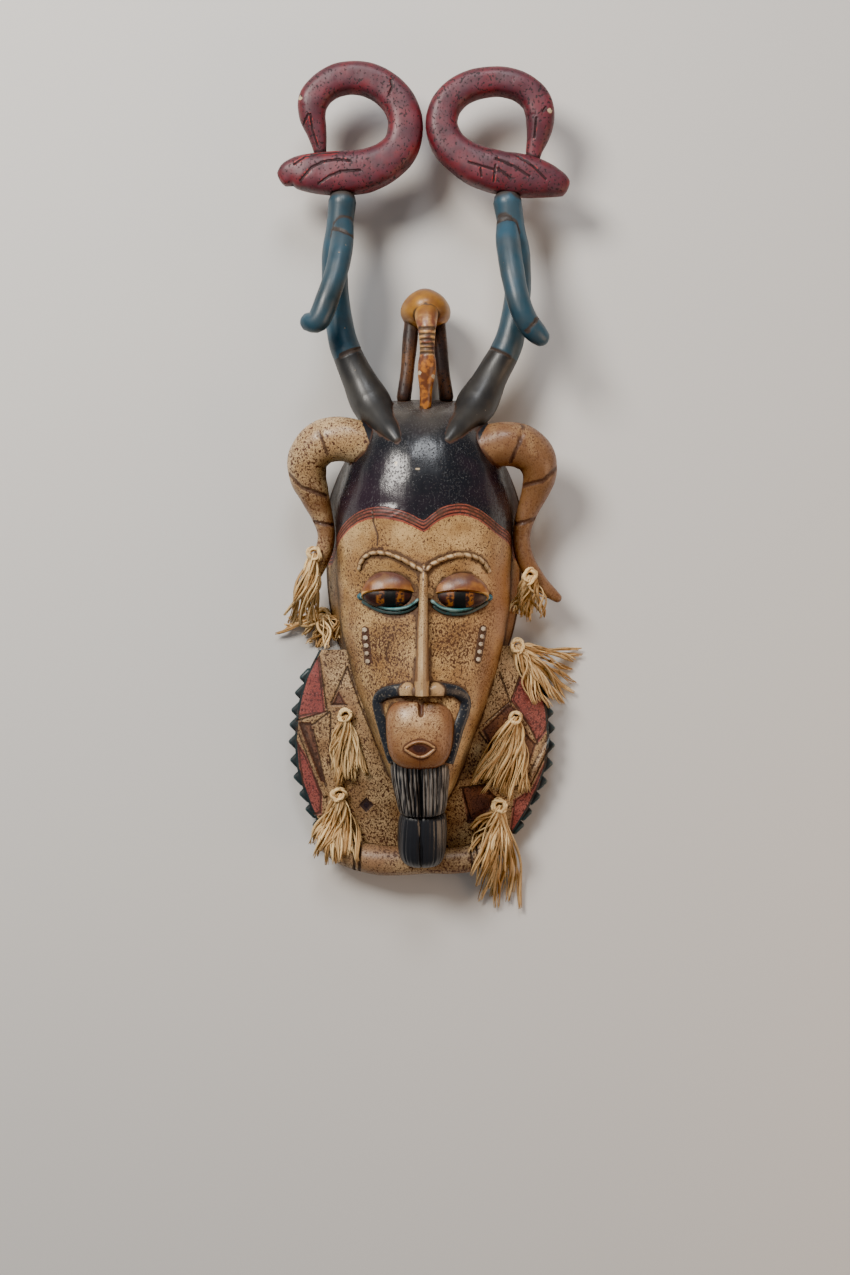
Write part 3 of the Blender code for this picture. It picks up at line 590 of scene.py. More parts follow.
def tube(knots, sides, spacing, fullness=2.0, swell=None, blunt=0.9):
    """A round-ended member through knots (x, y, z, half width, half thickness)."""
    rows, along = domed(*even_rows(knots, spacing), blunt)
    last = len(rows) - 1
    centres = rows[:, :3]
    tangents = np.gradient(centres, axis=0)
    sideways = np.cross(tangents, (0, 0, 1))
    sideways /= np.linalg.norm(sideways, axis=1)[:, None]
    outward = np.cross(sideways, tangents)
    outward /= np.linalg.norm(outward, axis=1)[:, None]
    form = bmesh.new()
    bmesh.ops.create_grid(form, x_segments=sides, y_segments=last, size=1.0)
    for vert in form.verts:
        number = round((vert.co.y + 1) / 2 * last)
        turn = 2 * pi * (round((vert.co.x + 1) / 2 * sides) % sides) / sides
        reach = (abs(cos(turn)) ** fullness + abs(sin(turn)) ** fullness) ** (-1 / fullness)
        if swell:
            reach *= swell(along[number], turn)
        place = (centres[number] + sideways[number] * cos(turn) * rows[number, 3] * reach
                 + outward[number] * sin(turn) * rows[number, 4] * reach)
        vert.co = lay(*place)
    close_up(form)
    return form


def member(route, radius, sides, spacing):
    """A horn, a tine or the ring from its route, whose widths are shares of its radius."""
    return tube([(x, y, z, wide * radius, thick * radius) for x, y, z, wide, thick in route],
                sides, spacing)


def horn_colour(tree):
    """Worn teal above the foot ring, dusty black below it."""
    teal = patched(tree, TEAL, (0.012, 0.030, 0.040), 22.0, 0.25)
    bright = partly(tree, effect(tree, BLOTCHES, Scale=15.0, Spread=0.2), 0.6)
    teal = over(tree, teal, (0.050, 0.155, 0.24), bright)
    rubbed = partly(tree, effect(tree, BLOTCHES, Scale=60.0, Spread=0.2), 0.55)
    teal = over(tree, teal, TEAL_WORN, rubbed)
    foot = patched(tree, (0.020, 0.020, 0.021), (0.042, 0.039, 0.035), 34.0, 0.25)
    colour = over(tree, teal, foot, stepped(tree, read(tree, "foot"), -0.6, 0.6))
    chips = effect(tree, CHIPS, Scale=230.0, Amount=0.5)
    return over(tree, colour, (0.30, 0.24, 0.17), chips), chips


HORN_PAINT = finish_paint("horn_paint", horn_colour, 0.42, 0.12, worn=(0.16, 0.16, 0.14),
                          worn_amount=0.55, coat=0.08)
for route, radius, rings in ((LEFT_HORN, HORN_RADIUS, FOOT_RINGS[:1]),
                             (RIGHT_HORN, HORN_RADIUS, FOOT_RINGS[1:]),
                             (LEFT_TINE, TINE_RADIUS, TINE_RINGS[:1]),
                             (RIGHT_TINE, TINE_RADIUS, TINE_RINGS[1:])):
    limb = member(route, radius, 30, 3.0)
    incise(limb, rings, *HORN_CUT_SIZE, front=0.0)
    carve(limb, HORN_PAINT)


# The two birds on the horns: each lies on its own back with its neck in a loop and its beak laid
# on its body, in dark red paint over purple grey, with cut feathers and a cut beak.
OXBLOOD = (0.205, 0.020, 0.027)
BIRD_LEVEL = 60
LEFT_BIRD = [
    (-145.5, 419.5, 4, 6), (-141, 421.5, 9, 9), (-133, 426, 13.5, 12.5), (-120, 427, 17.5, 15.5),
    (-99, 426.5, 21, 17),
    (-79, 427, 21.5, 18), (-59, 429, 21, 18), (-38, 438, 19.5, 17.5), (-23, 453, 18, 17),
    (-18.5, 474, 17.5, 17), (-24, 495, 17, 16.5), (-38, 511, 16.5, 16), (-56, 520, 16, 16),
    (-74, 522, 15.5, 16), (-91, 518, 15.5, 16), (-104, 508.5, 15, 15.5), (-111, 497, 15, 15),
    (-111.5, 484, 13.3, 13.5), (-108, 470, 10.3, 10.5), (-105, 456, 7.7, 8), (-103, 442, 5.5, 6)]
RIGHT_BIRD = [
    (144.5, 409.5, 4.5, 6), (140, 412.5, 9.5, 10), (132, 416, 13.5, 13), (119, 420, 17.5, 15.5),
    (98, 424, 21, 17),
    (76, 427, 21, 18), (56, 433, 20, 18), (38, 442.5, 18, 17.5), (24, 456, 17, 17),
    (17.5, 475, 16, 16.5), (22, 494, 15.5, 16), (35, 508, 14.8, 16), (54, 516, 14.3, 16),
    (76, 518, 14, 16), (96, 513, 14, 16), (110, 502, 14.5, 15.5), (115.5, 489, 14.8, 15),
    (116, 476, 13.8, 13.5), (113.5, 462, 11, 10.5), (110, 449, 8.4, 8), (108.5, 436, 6, 6)]
HEAD_AT = 16
BEAK_SHARE = 1.01
FEATHER_SIZE = (1.1, 1.0)
BIRD_CHIPS = [(-123, 499.4), (125, 486)]
LEFT_FEATHERS = [
    [(-129, 432.5), (-118, 440), (-103, 444), (-85, 444.4)],
    [(-123, 416), (-111.5, 429), (-99, 435), (-85, 437), (-73, 435)],
    [(-105, 412.5), (-94, 420), (-81.5, 425), (-63, 425.6)], [(-33, 516), (-31.5, 509), (-35, 501)],
    [(-113, 482.5), (-111, 467.5), (-106, 452.5)], [(-115, 482.5), (-120, 474)]]
RIGHT_FEATHERS = [
    [(92, 441), (107, 431), (121, 417.5)], [(71, 437.5), (88.5, 430), (104.8, 420)],
    [(43.5, 434), (57, 430), (69.8, 426)], [(71, 431), (69, 415)], [(73.5, 427.5), (86, 417.5)],
    [(56, 427.5), (57, 420)], [(111.6, 479), (109.8, 460)], [(121, 489), (118, 485)]]


def bird_colour(tree):
    """Dark red, rubbed to purple grey in patches and to bright red on the edges, with a paler purple red
    painted on the tops as sheen.
    """
    red = patched(tree, OXBLOOD, (0.105, 0.013, 0.020), 45.0, 0.2)
    # Painted sheen: faces that look up are lightened to a paler purple red.
    painted_top_sheen = ragged(tree, "up", 110.0, 6.0, 1.2)
    painted_top_sheen = partly(tree, stepped(tree, painted_top_sheen, 1.15, 1.75), 0.55)
    red = over(tree, red, (0.150, 0.045, 0.066), painted_top_sheen)
    smoke = partly(tree, effect(tree, BLOTCHES, Scale=75.0, Spread=0.16), 0.6)
    red = over(tree, red, (0.055, 0.026, 0.036), smoke)
    red = over(tree, red, (0.62, 0.48, 0.30), stepped(tree, read(tree, "chip"), 3.0, 2.2))
    pits = effect(tree, PITS, Scale=420.0, Amount=0.55)
    return over(tree, red, (0.030, 0.012, 0.016), pits), pits


BIRD_PAINT = finish_paint("bird_paint", bird_colour, 0.46, 0.1, worn=(0.40, 0.028, 0.028),
                          worn_amount=0.72, grime=(0.022, 0.008, 0.01), coat=0.04, lines=0.75)
for knots, feathers in ((LEFT_BIRD, LEFT_FEATHERS), (RIGHT_BIRD, RIGHT_FEATHERS)):
    bird = tube([(x, y, BIRD_LEVEL, wide, thick) for x, y, wide, thick in knots[:HEAD_AT + 2]],
                40, 2.4, 3.0, blunt=0.4)
    beak = tube([(x, y, BIRD_LEVEL, wide * BEAK_SHARE, thick * BEAK_SHARE)
                 for x, y, wide, thick in knots[HEAD_AT - 3:]], 30, 2.2, 2.5)
    incise(bird, feathers, *FEATHER_SIZE, 2)
    incise(beak, feathers, *FEATHER_SIZE, 2)
    carve(bird, BIRD_PAINT)
    carve(beak, BIRD_PAINT)


# The hornbill on the crown: a mustard body on two deep legs, its ringed neck bent forward and
# down until the tip of the long bill touches the skull.
MUSTARD = (0.44, 0.20, 0.026)
HORNBILL_BODY = (1.5, 292, 50)
HORNBILL_BODY_SIZE = (25, 20.5, 36)
SHOULDERS = 0.16
HORNBILL_EYES = [(-4.5, 223.5), (9.3, 220)]
HORNBILL_NECK = [
    (2, 294, 68, 13, 13), (2.5, 278, 83, 11, 10.5), (3, 264, 89, 8.4, 8.5), (3, 245, 88, 7.1, 7.5),
    (3, 233, 86, 8.8, 9), (2.5, 221, 82.5, 8.4, 8.5), (2, 208, 79, 6.3, 6.8), (1.5, 192, 75, 5.6, 5.6),
    (1, 182, 72.5, 3.4, 3.6), (0.5, 176, 71, 1.6, 2)]
NECK_RINGS = [[(-9, y), (3, y - 1), (15, y)] for y in (267, 261, 256, 251.5, 247.5, 243)]
NECK_RING_SIZE = (1.2, 0.9)
NECK_ENDS = (268, 290)
BILL_STARTS = (239, 242)
BILL_TIP = (179, 184)
LEFT_LEG = [
    (-12, 290, 44, 7, 14), (-14, 262, 44, 7.5, 14), (-17, 230, 44, 7, 14), (-22, 194, 42, 7.5, 16)]
RIGHT_LEG = [
    (14, 290, 44, 7, 14), (16, 262, 44, 7, 14), (19, 230, 44, 6.8, 14), (24, 194, 42, 7.5, 16)]


def ball(centre, size, turns, rings):
    """An egg shape from its centre and three half sizes in the layout."""
    form = bmesh.new()
    bmesh.ops.create_uvsphere(form, u_segments=turns, v_segments=rings, radius=1.0)
    bmesh.ops.scale(form, vec=Vector(size) * MM, verts=form.verts)
    bmesh.ops.translate(form, vec=lay(*centre), verts=form.verts)
    return form


def height_between(tree, low, high):
    """How far along the mask a point lies between two places, from 0 to 1."""
    coordinates = tree.nodes.new("ShaderNodeTexCoord")
    axes = tree.nodes.new("ShaderNodeSeparateXYZ")
    tree.links.new(coordinates.outputs["Object"], axes.inputs["Vector"])
    node = tree.nodes.new("ShaderNodeMapRange")
    node.inputs["From Min"].default_value = EYE_LINE + low * MM
    node.inputs["From Max"].default_value = EYE_LINE + high * MM
    tree.links.new(axes.outputs["Y"], node.inputs["Value"])
    return node.outputs["Result"]


def above(tree, low, high):
    """A soft step between two places along the mask."""
    return stepped(tree, height_between(tree, low, high), 0.0, 1.0)


def hornbill_colour(tree):
    """Mustard body, ochre neck, orange brown head and bill, black tip."""
    body = patched(tree, MUSTARD, (0.22, 0.085, 0.022), 38.0, 0.14)
    neck = patched(tree, (0.74, 0.41, 0.14), (0.22, 0.07, 0.04), 95.0)
    colour = over(tree, neck, body, above(tree, *NECK_ENDS))
    bill = patched(tree, (0.50, 0.18, 0.03), (0.16, 0.05, 0.022), 150.0, 0.1)
    colour = over(tree, bill, colour, above(tree, *BILL_STARTS))
    colour = over(tree, (0.010, 0.009, 0.009), colour, above(tree, *BILL_TIP))
    colour = over(tree, colour, (0.70, 0.55, 0.36), stepped(tree, read(tree, "chip"), 2.4, 1.8))
    chips = effect(tree, CHIPS, Scale=190.0, Amount=0.45)
    return over(tree, colour, (0.05, 0.02, 0.012), chips), chips


HORNBILL_PAINT = finish_paint("hornbill_paint", hornbill_colour, 0.40, 0.1, worn=(0.50, 0.30, 0.09),
                              worn_amount=0.35, grime_amount=0.6, coat=0.15)
LEG_PAINT = speckled_paint(
    "leg_paint", ((0.15, 0.060, 0.022), (0.02, 0.012, 0.01), (0.035, 0.020, 0.018)),
    0.6, 0.45, 0.1, worn=(0.36, 0.17, 0.045), worn_amount=0.5)
body = ball(HORNBILL_BODY, HORNBILL_BODY_SIZE, 44, 30)
body_middle = lay(*HORNBILL_BODY)
for vert in body.verts:
    share = (vert.co.y - body_middle.y) / (HORNBILL_BODY_SIZE[1] * MM)
    vert.co.x += (vert.co.x - body_middle.x) * SHOULDERS * (-share - 0.3 * share * share)
carve(body, HORNBILL_PAINT)
neck = tube(HORNBILL_NECK, 20, 1.8)
incise(neck, NECK_RINGS, *NECK_RING_SIZE)
carve(neck, HORNBILL_PAINT)
for leg in (LEFT_LEG, RIGHT_LEG):
    carve(tube(leg, 16, 5.0, 3.2), LEG_PAINT)


# The ram horns: thick at the skull, bent out and down beside the face and drawn to a thin tip,
# cream and heavily flyspecked, with three cut rings, and black where they leave the skull.
RAM_RADIUS = 21
RAM_CUT_SIZE = (1.7, 1.4)
LEFT_RAM = [
    (-32, 148, 62, 0.9, 0.9), (-51.8, 151.5, 66, 1.0, 1.0), (-78.7, 160, 68, 1.05, 1.05),
    (-101.7, 157, 66, 1.05, 1.0), (-115.4, 141.9, 61, 0.98, 0.95), (-116.2, 123.8, 56, 0.88, 0.85),
    (-110.8, 107, 52, 0.72, 0.7), (-103, 86, 47, 0.52, 0.56), (-98.5, 66.9, 44, 0.43, 0.48),
    (-101.5, 48.8, 42, 0.43, 0.46), (-111, 29.7, 41, 0.43, 0.44), (-122, 11, 41, 0.36, 0.38),
    (-128, 3, 41, 0.24, 0.26)]
RIGHT_RAM = [
    (32, 148, 62, 0.9, 0.9), (51.8, 150, 66, 1.0, 1.0), (76.7, 155, 68, 1.05, 1.05),
    (96, 153.5, 66, 1.05, 1.0), (110.5, 143, 62, 0.98, 0.95), (115.6, 128, 58, 0.84, 0.85),
    (112.5, 112, 53, 0.68, 0.7), (106.5, 96, 49, 0.55, 0.58), (101, 80, 46, 0.46, 0.5),
    (98, 62, 43, 0.42, 0.46), (102, 41.7, 42, 0.43, 0.45), (114, 21, 41, 0.42, 0.42),
    (130, 6, 41, 0.28, 0.3), (140, -1, 41, 0.12, 0.16)]
LEFT_RAM_RINGS = [[(-107, 181), (-104, 165), (-96, 145)], [(-135, 126), (-122, 112), (-98, 104)],
                  [(-112, 79), (-100, 76), (-88, 75)]]
RIGHT_RAM_RINGS = [[(99, 178), (96, 160), (86, 136)], [(134, 132), (118, 118), (98, 114)],
                   [(113, 82), (101, 78), (88, 76)]]


def ram_colour(tree):
    """Cream with thick brown specks, black at the skull and brown at the left tip."""
    cream, pits = speckled(tree, (0.66, 0.46, 0.24), (0.085, 0.028, 0.012), (0.50, 0.31, 0.14),
                           0.60, 0.0, 470.0)
    stain = ragged(tree, "stain", 45.0, 5.0, 1.3)
    cream = over(tree, cream, (0.17, 0.062, 0.020), partly(tree, stepped(tree, stain, 0.85, 1.5), 0.85))
    root = ragged(tree, "root", 260.0, 2.0, 2.4)
    colour = over(tree, cream, BLACK, stepped(tree, root, 0.7, 1.5))
    return over(tree, colour, (0.085, 0.045, 0.04), stepped(tree, read(tree, "tip"), 0.0, 1.0)), pits


RAM_PAINT = finish_paint("ram_paint", ram_colour, 0.40, 0.1, grime=(0.07, 0.028, 0.016), coat=0.15)
for knots, rings in ((LEFT_RAM, LEFT_RAM_RINGS), (RIGHT_RAM, RIGHT_RAM_RINGS)):
    horn = member(knots, RAM_RADIUS, 34, 3.0)
    incise(horn, rings, *RAM_CUT_SIZE)
    carve(horn, RAM_PAINT)


# The wings: thin boards beside the cheeks that fall away to a row of dark teeth, cut into
# facets that are painted cream, brown and dull red, with a low ridge between the outer two.
WING_THICKNESS = 16
LEFT_WING = [
    (-50, -70, -106, 48, 40), (-78, -62, -120, 50, 36), (-96, -56, -125.5, 51, 33),
    (-114, -48, -129, 52, 31), (-140, -38, -131.5, 50, 29), (-169, -28, -129.5, 46, 28),
    (-189, -20, -123.5, 41, 27), (-210, -14, -116, 35, 25), (-232, -12, -106, 29, 22),
    (-252, -10, -96, 25, 19)]
RIGHT_WING = [
    (-46, 70, 102, 48, 40), (-68, 62, 114, 50, 36), (-90, 56, 120.5, 51, 33),
    (-114, 48, 125.5, 52, 31), (-140, 38, 127.5, 50, 29), (-169, 28, 124, 46, 28),
    (-189, 20, 117, 41, 27), (-210, 14, 107, 35, 25), (-232, 12, 94, 29, 22),
    (-252, 10, 80, 25, 19)]
TOOTH_PITCH = 17.5
TOOTH_DEPTH = 8
TOOTH_THICKNESS = 9
TOOTH_SHARE = 0.62
TOOTH_TAPER = 0.9
TOOTH_SINK = 0.8
TOOTH_ROUNDING = 2.6
TOOTH_SPAN = (-62, -243)
RIDGE_WIDTH = 3.5
RIDGE_RISE = 3.2
PANEL_CUT = (1.3, 1.2)
PANEL_SINK = (1.6, 0.9)
WING_GRID = (38, 76)
FINEST_EDGE = 0.9
LEFT_RIDGES = [[(-129, -119), (-121, -140), (-100, -197)]]
RIGHT_RIDGES = [[(128.8, -140), (118, -160), (107, -182)]]
LEFT_CUTS = [
    [(-77, -67), (-93, -103)], [(-94, -114), (-95, -166)], [(-105.5, -57), (-98, -109)],
    [(-98, -112), (-129, -122)], [(-95, -112.5), (-113, -126)], [(-112, -131), (-100, -185)],
    [(-77, -67), (-64, -105), (-46, -150)], [(-93, -105), (-78, -105)]]
RIGHT_CUTS = [
    [(75.7, -72), (88, -106)], [(85, -103), (61.5, -123)], [(55.5, -133), (63, -143), (70, -152)],
    [(103, -58), (88, -100)], [(88, -101), (107, -128), (115, -145)], [(38.4, -190.5), (47, -221)],
    [(37, -189), (61, -186)], [(126, -150), (107, -190)], [(89.5, -209.7), (90.4, -209.7)]]
LEFT_REDS = [
    [(-111, -59), (-105.5, -57), (-99.5, -113), (-128, -119.5), (-130, -110), (-122, -77)],
    [(-130, -140), (-124, -192), (-114, -220), (-104, -217), (-103, -196), (-119, -158)]]
RIGHT_REDS = [
    [(103, -58), (88, -100.6), (107, -128), (115, -145), (124, -133), (127.5, -121), (123, -100)],
    [(126, -155), (124, -176), (107, -211), (90, -245), (87, -233), (91, -202), (109, -191)]]
LEFT_BROWNS = [
    [(-86, -90.5), (-93, -105.7), (-78, -105.3)],
    [(-128, -123), (-114, -123), (-112, -133), (-100, -185), (-105, -183)]]
RIGHT_BROWNS = [
    [(85, -103.7), (58, -130.4), (69, -152), (92, -150), (106, -136), (92, -108.7)],
    [(37.4, -189), (60.6, -186.5), (76.8, -201.6), (54.5, -225), (44, -226)],
    [(97, -128), (114, -145), (107, -166), (98, -150)]]
# A dark diamond painted where the left wing has a hole: painted shade standing in for the opening.
HOLE_SHADE_PATCHES = [[(-58.6, -199), (-51, -207), (-58.6, -215), (-66, -207)]]


def polygon_distance(places, polygons):
    """The distance to the nearest of some polygons, negative inside one."""
    outline = [list(polygon) + [polygon[0]] for polygon in polygons]
    distance = near(places, outline)
    inside = np.zeros(len(places), dtype=bool)
    for polygon in outline:
        odd = np.zeros(len(places), dtype=bool)
        for (x1, y1), (x2, y2) in zip(polygon, polygon[1:]):
            crosses = (places[:, 1] > y1) != (places[:, 1] > y2)
            odd ^= crosses & (places[:, 0] < (x2 - x1) * (places[:, 1] - y1) / (y2 - y1 + 1e-9) + x1)
        inside |= odd
    return np.where(inside, -distance, distance)


def wing_row(wing, y):
    """A wing's edges and their heights at one level."""
    rows = np.array(wing)
    return [np.interp(-y, -rows[:, 0], rows[:, column]) for column in range(1, 5)]


def wing_height(wing, x, y):
    """The height of a wing's front over a place of the layout."""
    inner, outer, inner_height, outer_height = wing_row(wing, y)
    share = min(max((x - inner) / (outer - inner), 0), 1)
    return inner_height + (outer_height - inner_height) * share ** 2


def wing_form(wing, ridges, cuts, panels):
    """One wing with its ridges and the cuts between its panels."""
    form = bmesh.new()
    bmesh.ops.create_grid(form, x_segments=WING_GRID[0], y_segments=WING_GRID[1], size=1.0)
    top, bottom = wing[0][0], wing[-1][0]
    for vert in form.verts:
        y = top + (bottom - top) * (1 - vert.co.y) / 2
        inner, outer = wing_row(wing, y)[:2]
        x = inner + (outer - inner) * (vert.co.x + 1) / 2
        vert.co = lay(x, y, wing_height(wing, x, y))
    back = bmesh.ops.extrude_face_region(form, geom=form.faces[:])["geom"]
    lower = [item for item in back if isinstance(item, bmesh.types.BMVert)]
    bmesh.ops.translate(form, vec=(0, 0, -WING_THICKNESS * MM), verts=lower)
    bmesh.ops.recalc_face_normals(form, faces=form.faces)
    for reach in (3.0, 1.8):
        places = layout_of(form)
        form.verts.index_update()
        form.normal_update()
        distance = np.minimum(near(places, cuts + ridges), np.abs(polygon_distance(places, panels)))
        close = [edge for edge in form.edges
                 if min(distance[edge.verts[0].index], distance[edge.verts[1].index]) < reach
                 and edge.calc_length() > FINEST_EDGE * MM
                 and min(edge.verts[0].normal.z, edge.verts[1].normal.z) > 0.2]
        bmesh.ops.subdivide_edges(form, edges=close, cuts=1, use_grid_fill=True)
    places = layout_of(form)
    rise = near(places, ridges)
    cut = near(places, cuts)
    panel = polygon_distance(places, panels)
    form.normal_update()
    for vert, up, down, inside in zip(list(form.verts), rise, cut, panel):
        if vert.normal.z > 0.2:
            vert.co.z += MM * RIDGE_RISE * max(1 - up / RIDGE_WIDTH, 0)
            vert.co.z -= MM * PANEL_CUT[1] * max(1 - down / PANEL_CUT[0], 0)
            vert.co.z -= MM * PANEL_SINK[1] * min(max(-inside / PANEL_SINK[0], 0), 1)
    return form


def wing_teeth(wing):
    """The row of round-pointed teeth along a wing's outer edge."""
    edge = [(outer, y, height) for y, _, outer, _, height in flow(wing, 8)
            if TOOTH_SPAN[1] <= y <= TOOTH_SPAN[0]]
    travelled = 0.0
    for here, ahead in zip(edge, edge[1:]):
        travelled += hypot(ahead[0] - here[0], ahead[1] - here[1], ahead[2] - here[2])
        if travelled < TOOTH_PITCH:
            continue
        travelled -= TOOTH_PITCH
        radius = TOOTH_PITCH * TOOTH_SHARE
        tooth = bmesh.new()
        bmesh.ops.create_cone(tooth, cap_ends=True, segments=4, radius1=radius * MM,
                              radius2=radius * TOOTH_TAPER * MM, depth=TOOTH_THICKNESS * MM)
        inward = -1 if here[0] > 0 else 1
        bmesh.ops.translate(tooth, verts=tooth.verts, vec=lay(
            here[0] + inward * (radius - TOOTH_DEPTH), here[1], here[2] - TOOTH_SINK * TOOTH_THICKNESS))
        bmesh.ops.bevel(tooth, geom=tooth.edges[:], offset=TOOTH_ROUNDING * MM, segments=3, profile=0.5,
                        affect="EDGES", material=-1)
        carve(tooth, TOOTH_PAINT)


def wing_colour(tree):
    """Cream board with red and brown panels and a dark outer edge."""
    cream, pits = speckled(tree, (0.60, 0.40, 0.20), (0.075, 0.030, 0.014), (0.33, 0.185, 0.08), 0.72)
    red, _ = speckled(tree, (0.40, 0.105, 0.080), (0.10, 0.026, 0.026), (0.27, 0.055, 0.046),
                      0.66, 0.0, 520.0)
    red = over(tree, red, (0.45, 0.17, 0.15), effect(tree, CHIPS, Scale=420.0, Amount=0.9))
    brown, _ = speckled(tree, (0.25, 0.105, 0.050), (0.065, 0.025, 0.018), (0.14, 0.055, 0.035), 0.6)
    colour = over(tree, cream, red, stepped(tree, read(tree, "red"), 0.5, -0.5))
    colour = over(tree, colour, brown, stepped(tree, read(tree, "brown"), 0.5, -0.5))
    # Painted shade: the diamond where the wing has a hole is painted near black.
    colour = over(tree, colour, (0.022, 0.012, 0.016), stepped(tree, read(tree, "dark"), 0.5, -0.5))
    colour = over(tree, colour, (0.012, 0.024, 0.026), stepped(tree, read(tree, "rim"), 3.0, 2.2))
    return colour, pits


TOOTH_PAINT = speckled_paint(
    "tooth_paint", ((0.010, 0.026, 0.030), (0.07, 0.08, 0.06), (0.018, 0.044, 0.048)),
    0.1, 0.42, 0.1, grime=(0.006, 0.010, 0.012), worn=(0.07, 0.11, 0.11), worn_amount=0.45)
WING_PAINT = finish_paint("wing_paint", wing_colour, 0.50, 0.1, grime=(0.045, 0.022, 0.014),
                          grime_amount=0.4, lines=0.85)
for wing, ridges, cuts, panels in ((LEFT_WING, LEFT_RIDGES, LEFT_CUTS, LEFT_REDS + LEFT_BROWNS + HOLE_SHADE_PATCHES),
                                   (RIGHT_WING, RIGHT_RIDGES, RIGHT_CUTS, RIGHT_REDS + RIGHT_BROWNS)):
    carve(wing_form(wing, ridges, cuts, panels), WING_PAINT)
    cut_lines.extend(cuts)
    wing_teeth(wing)


# The ring below the beard: a round cream collar that joins the two wings, speckled, with dark
# cut bands.
RING_RADIUS = 14
RING_CUT_SIZE = (1.1, 1.0)
NECK_RING = [
    (-106, -238, 22, 0.8), (-84, -254, 26, 0.95), (-56, -262, 30, 1.07), (-28, -264, 33, 1.05),
    (0, -263.5, 35, 0.95), (24, -264, 33, 0.93), (47, -261.5, 30, 0.93), (68, -250, 25, 0.86),
    (88, -234, 22, 0.75)]
RING_CUTS = [[(-70, -243), (-71, -281)], [(-64, -243), (-66, -281)], [(46, -246), (51, -278)],
             [(52, -243), (57, -275)]]
RING_PAINT = speckled_paint(
    "ring_paint", ((0.46, 0.31, 0.16), (0.085, 0.035, 0.018), (0.30, 0.165, 0.08)),
    0.66, 0.45, 0.1, size=450.0, grime=(0.03, 0.016, 0.012), grime_amount=0.4)
ring = member([(x, y, z, share, share) for x, y, z, share in NECK_RING], RING_RADIUS, 30, 3.0)
incise(ring, RING_CUTS, *RING_CUT_SIZE, 2)
carve(ring, RING_PAINT)


# The beard: two tiers of blue black wood below the chin, cut with upright strands and parted in
# the middle.
BEARD_UPPER = [
    (-3, -152, 84, 24, 20), (-3.5, -160, 84, 28.5, 26), (-3.5, -168, 83, 29.5, 27),
    (-2.5, -190, 77, 26.5, 24), (-2, -207, 71, 23.5, 21), (-2, -213, 69, 20, 17)]
BEARD_LOWER = [
    (-1, -206, 68, 18, 15), (-1, -213, 67, 22.5, 20), (-1.5, -230, 62, 25, 23),
    (-2, -246, 57, 24.5, 23), (-2, -258, 53, 21, 20), (-2, -267, 51, 14.5, 14)]
PARTING_SIZE = (1.8, 2.0)
STRANDS = Random(5)


def strand_swell(count, depth):
    """Uneven upright strands round a tier, as a share of its girth at each turn."""
    depths = [STRANDS.uniform(0.35, 1.0) * depth for _ in range(count)]

    def swell(along, turn):
        place = turn / (2 * pi) * count
        return 1 - depths[int(place) % count] * (0.5 + 0.5 * cos(2 * pi * place)) ** 3
    return swell


def beard_colour(tree):
    """Blue black with greyer strands."""
    streaks = noisy(tree, 520.0, 2.0, (1.0, 0.04, 0.12))
    grey = partly(tree, stepped(tree, streaks, 0.45, 0.56), height_between(tree, -216, -206))
    colour = over(tree, (0.016, 0.017, 0.021), (0.24, 0.215, 0.19), grey)
    return colour, effect(tree, CHIPS, Scale=230.0, Amount=0.3)


BEARD_PAINT = finish_paint("beard_paint", beard_colour, 0.34, 0.08, worn=(0.13, 0.12, 0.11),
                           worn_amount=0.25, grime=(0.006, 0.006, 0.007), coat=0.2)
for tier, count, depth in ((BEARD_UPPER, 44, 0.075), (BEARD_LOWER, 36, 0.035)):
    form = tube(tier, 4 * count, 3.0, 2.5, strand_swell(count, depth), blunt=0.22)
    incise(form, [[(-4, tier[0][1]), (-3, tier[-1][1])]], *PARTING_SIZE, 0)
    carve(form, BEARD_PAINT)


# The features: nose, brow, lids, lips, moustache and cheek scars stand on the face. Each is cut
# from the same wood, so each sinks a little into the shell.
NOSE = [
    (0, 33, 3.0, 2), (-0.5, 10, 4.2, 8), (-1, -20, 5, 12), (-1.5, -50, 6, 15.5),
    (-2, -75, 7, 19.5), (-2, -88, 8, 21), (-2, -112, 8, 18)]
NOSTRILS = [(-25, -92, 3, 4), (-20, -90, 7, 8), (-14, -89, 8.5, 10), (-9, -90, 6.5, 8), (-2, -90, 5, 8),
            (5, -90, 6.5, 8), (10, -89, 8.5, 10), (16, -90, 7, 8), (21, -92, 3, 4)]
NOSE_BOTTOM = -94
BROW = [
    (-64, 28.5), (-59.4, 39.6), (-49.4, 45), (-35.3, 43.9), (-19.9, 37.7), (0, 27.4), (6.5, 32.8),
    (20.8, 39.6), (35, 42.8), (48.3, 41.6), (58.2, 36.2), (64.8, 26.3)]
BROW_WIDTH = 5
BROW_PITCH = 8.5
BROW_NOTCH = 0.30
MUZZLE = (-4, -131)
MUZZLE_SIZE = (33, 37, 20)
MUZZLE_SINK = 10
MUZZLE_SQUARENESS = 2.8
MUZZLE_FLARE = 0.07
LIP_SIZE = (1.5, 2.2)
UPPER_LIP = [(-19, -145.5), (-11, -140), (-4, -138.5), (3, -140), (11, -145)]
LOWER_LIP = [(-19, -145.5), (-11, -151), (-4, -153.5), (3, -151.5), (11, -145)]
PHILTRUM = [[(-3, -94), (-3, -112)]]
PHILTRUM_SIZE = (3.0, 2.6)
LEFT_MOUSTACHE = [
    (-19, -88), (-38, -91), (-46.5, -98), (-46, -108), (-42, -125), (-38, -140), (-31, -161)]
RIGHT_MOUSTACHE = [
    (16, -87), (33, -90), (42, -98), (41, -110), (36, -125), (32, -140), (25, -161)]
MOUSTACHE_SIZE = (6.2, 4.5)
MOUSTACHE_INSET = 2.5
EYES = [(-33, 4.5), (35, 3.5)]
EYEBALL_SIZE = (27, 14, 11)
LID_SIZE = (28.5, 23.3, 14.5)
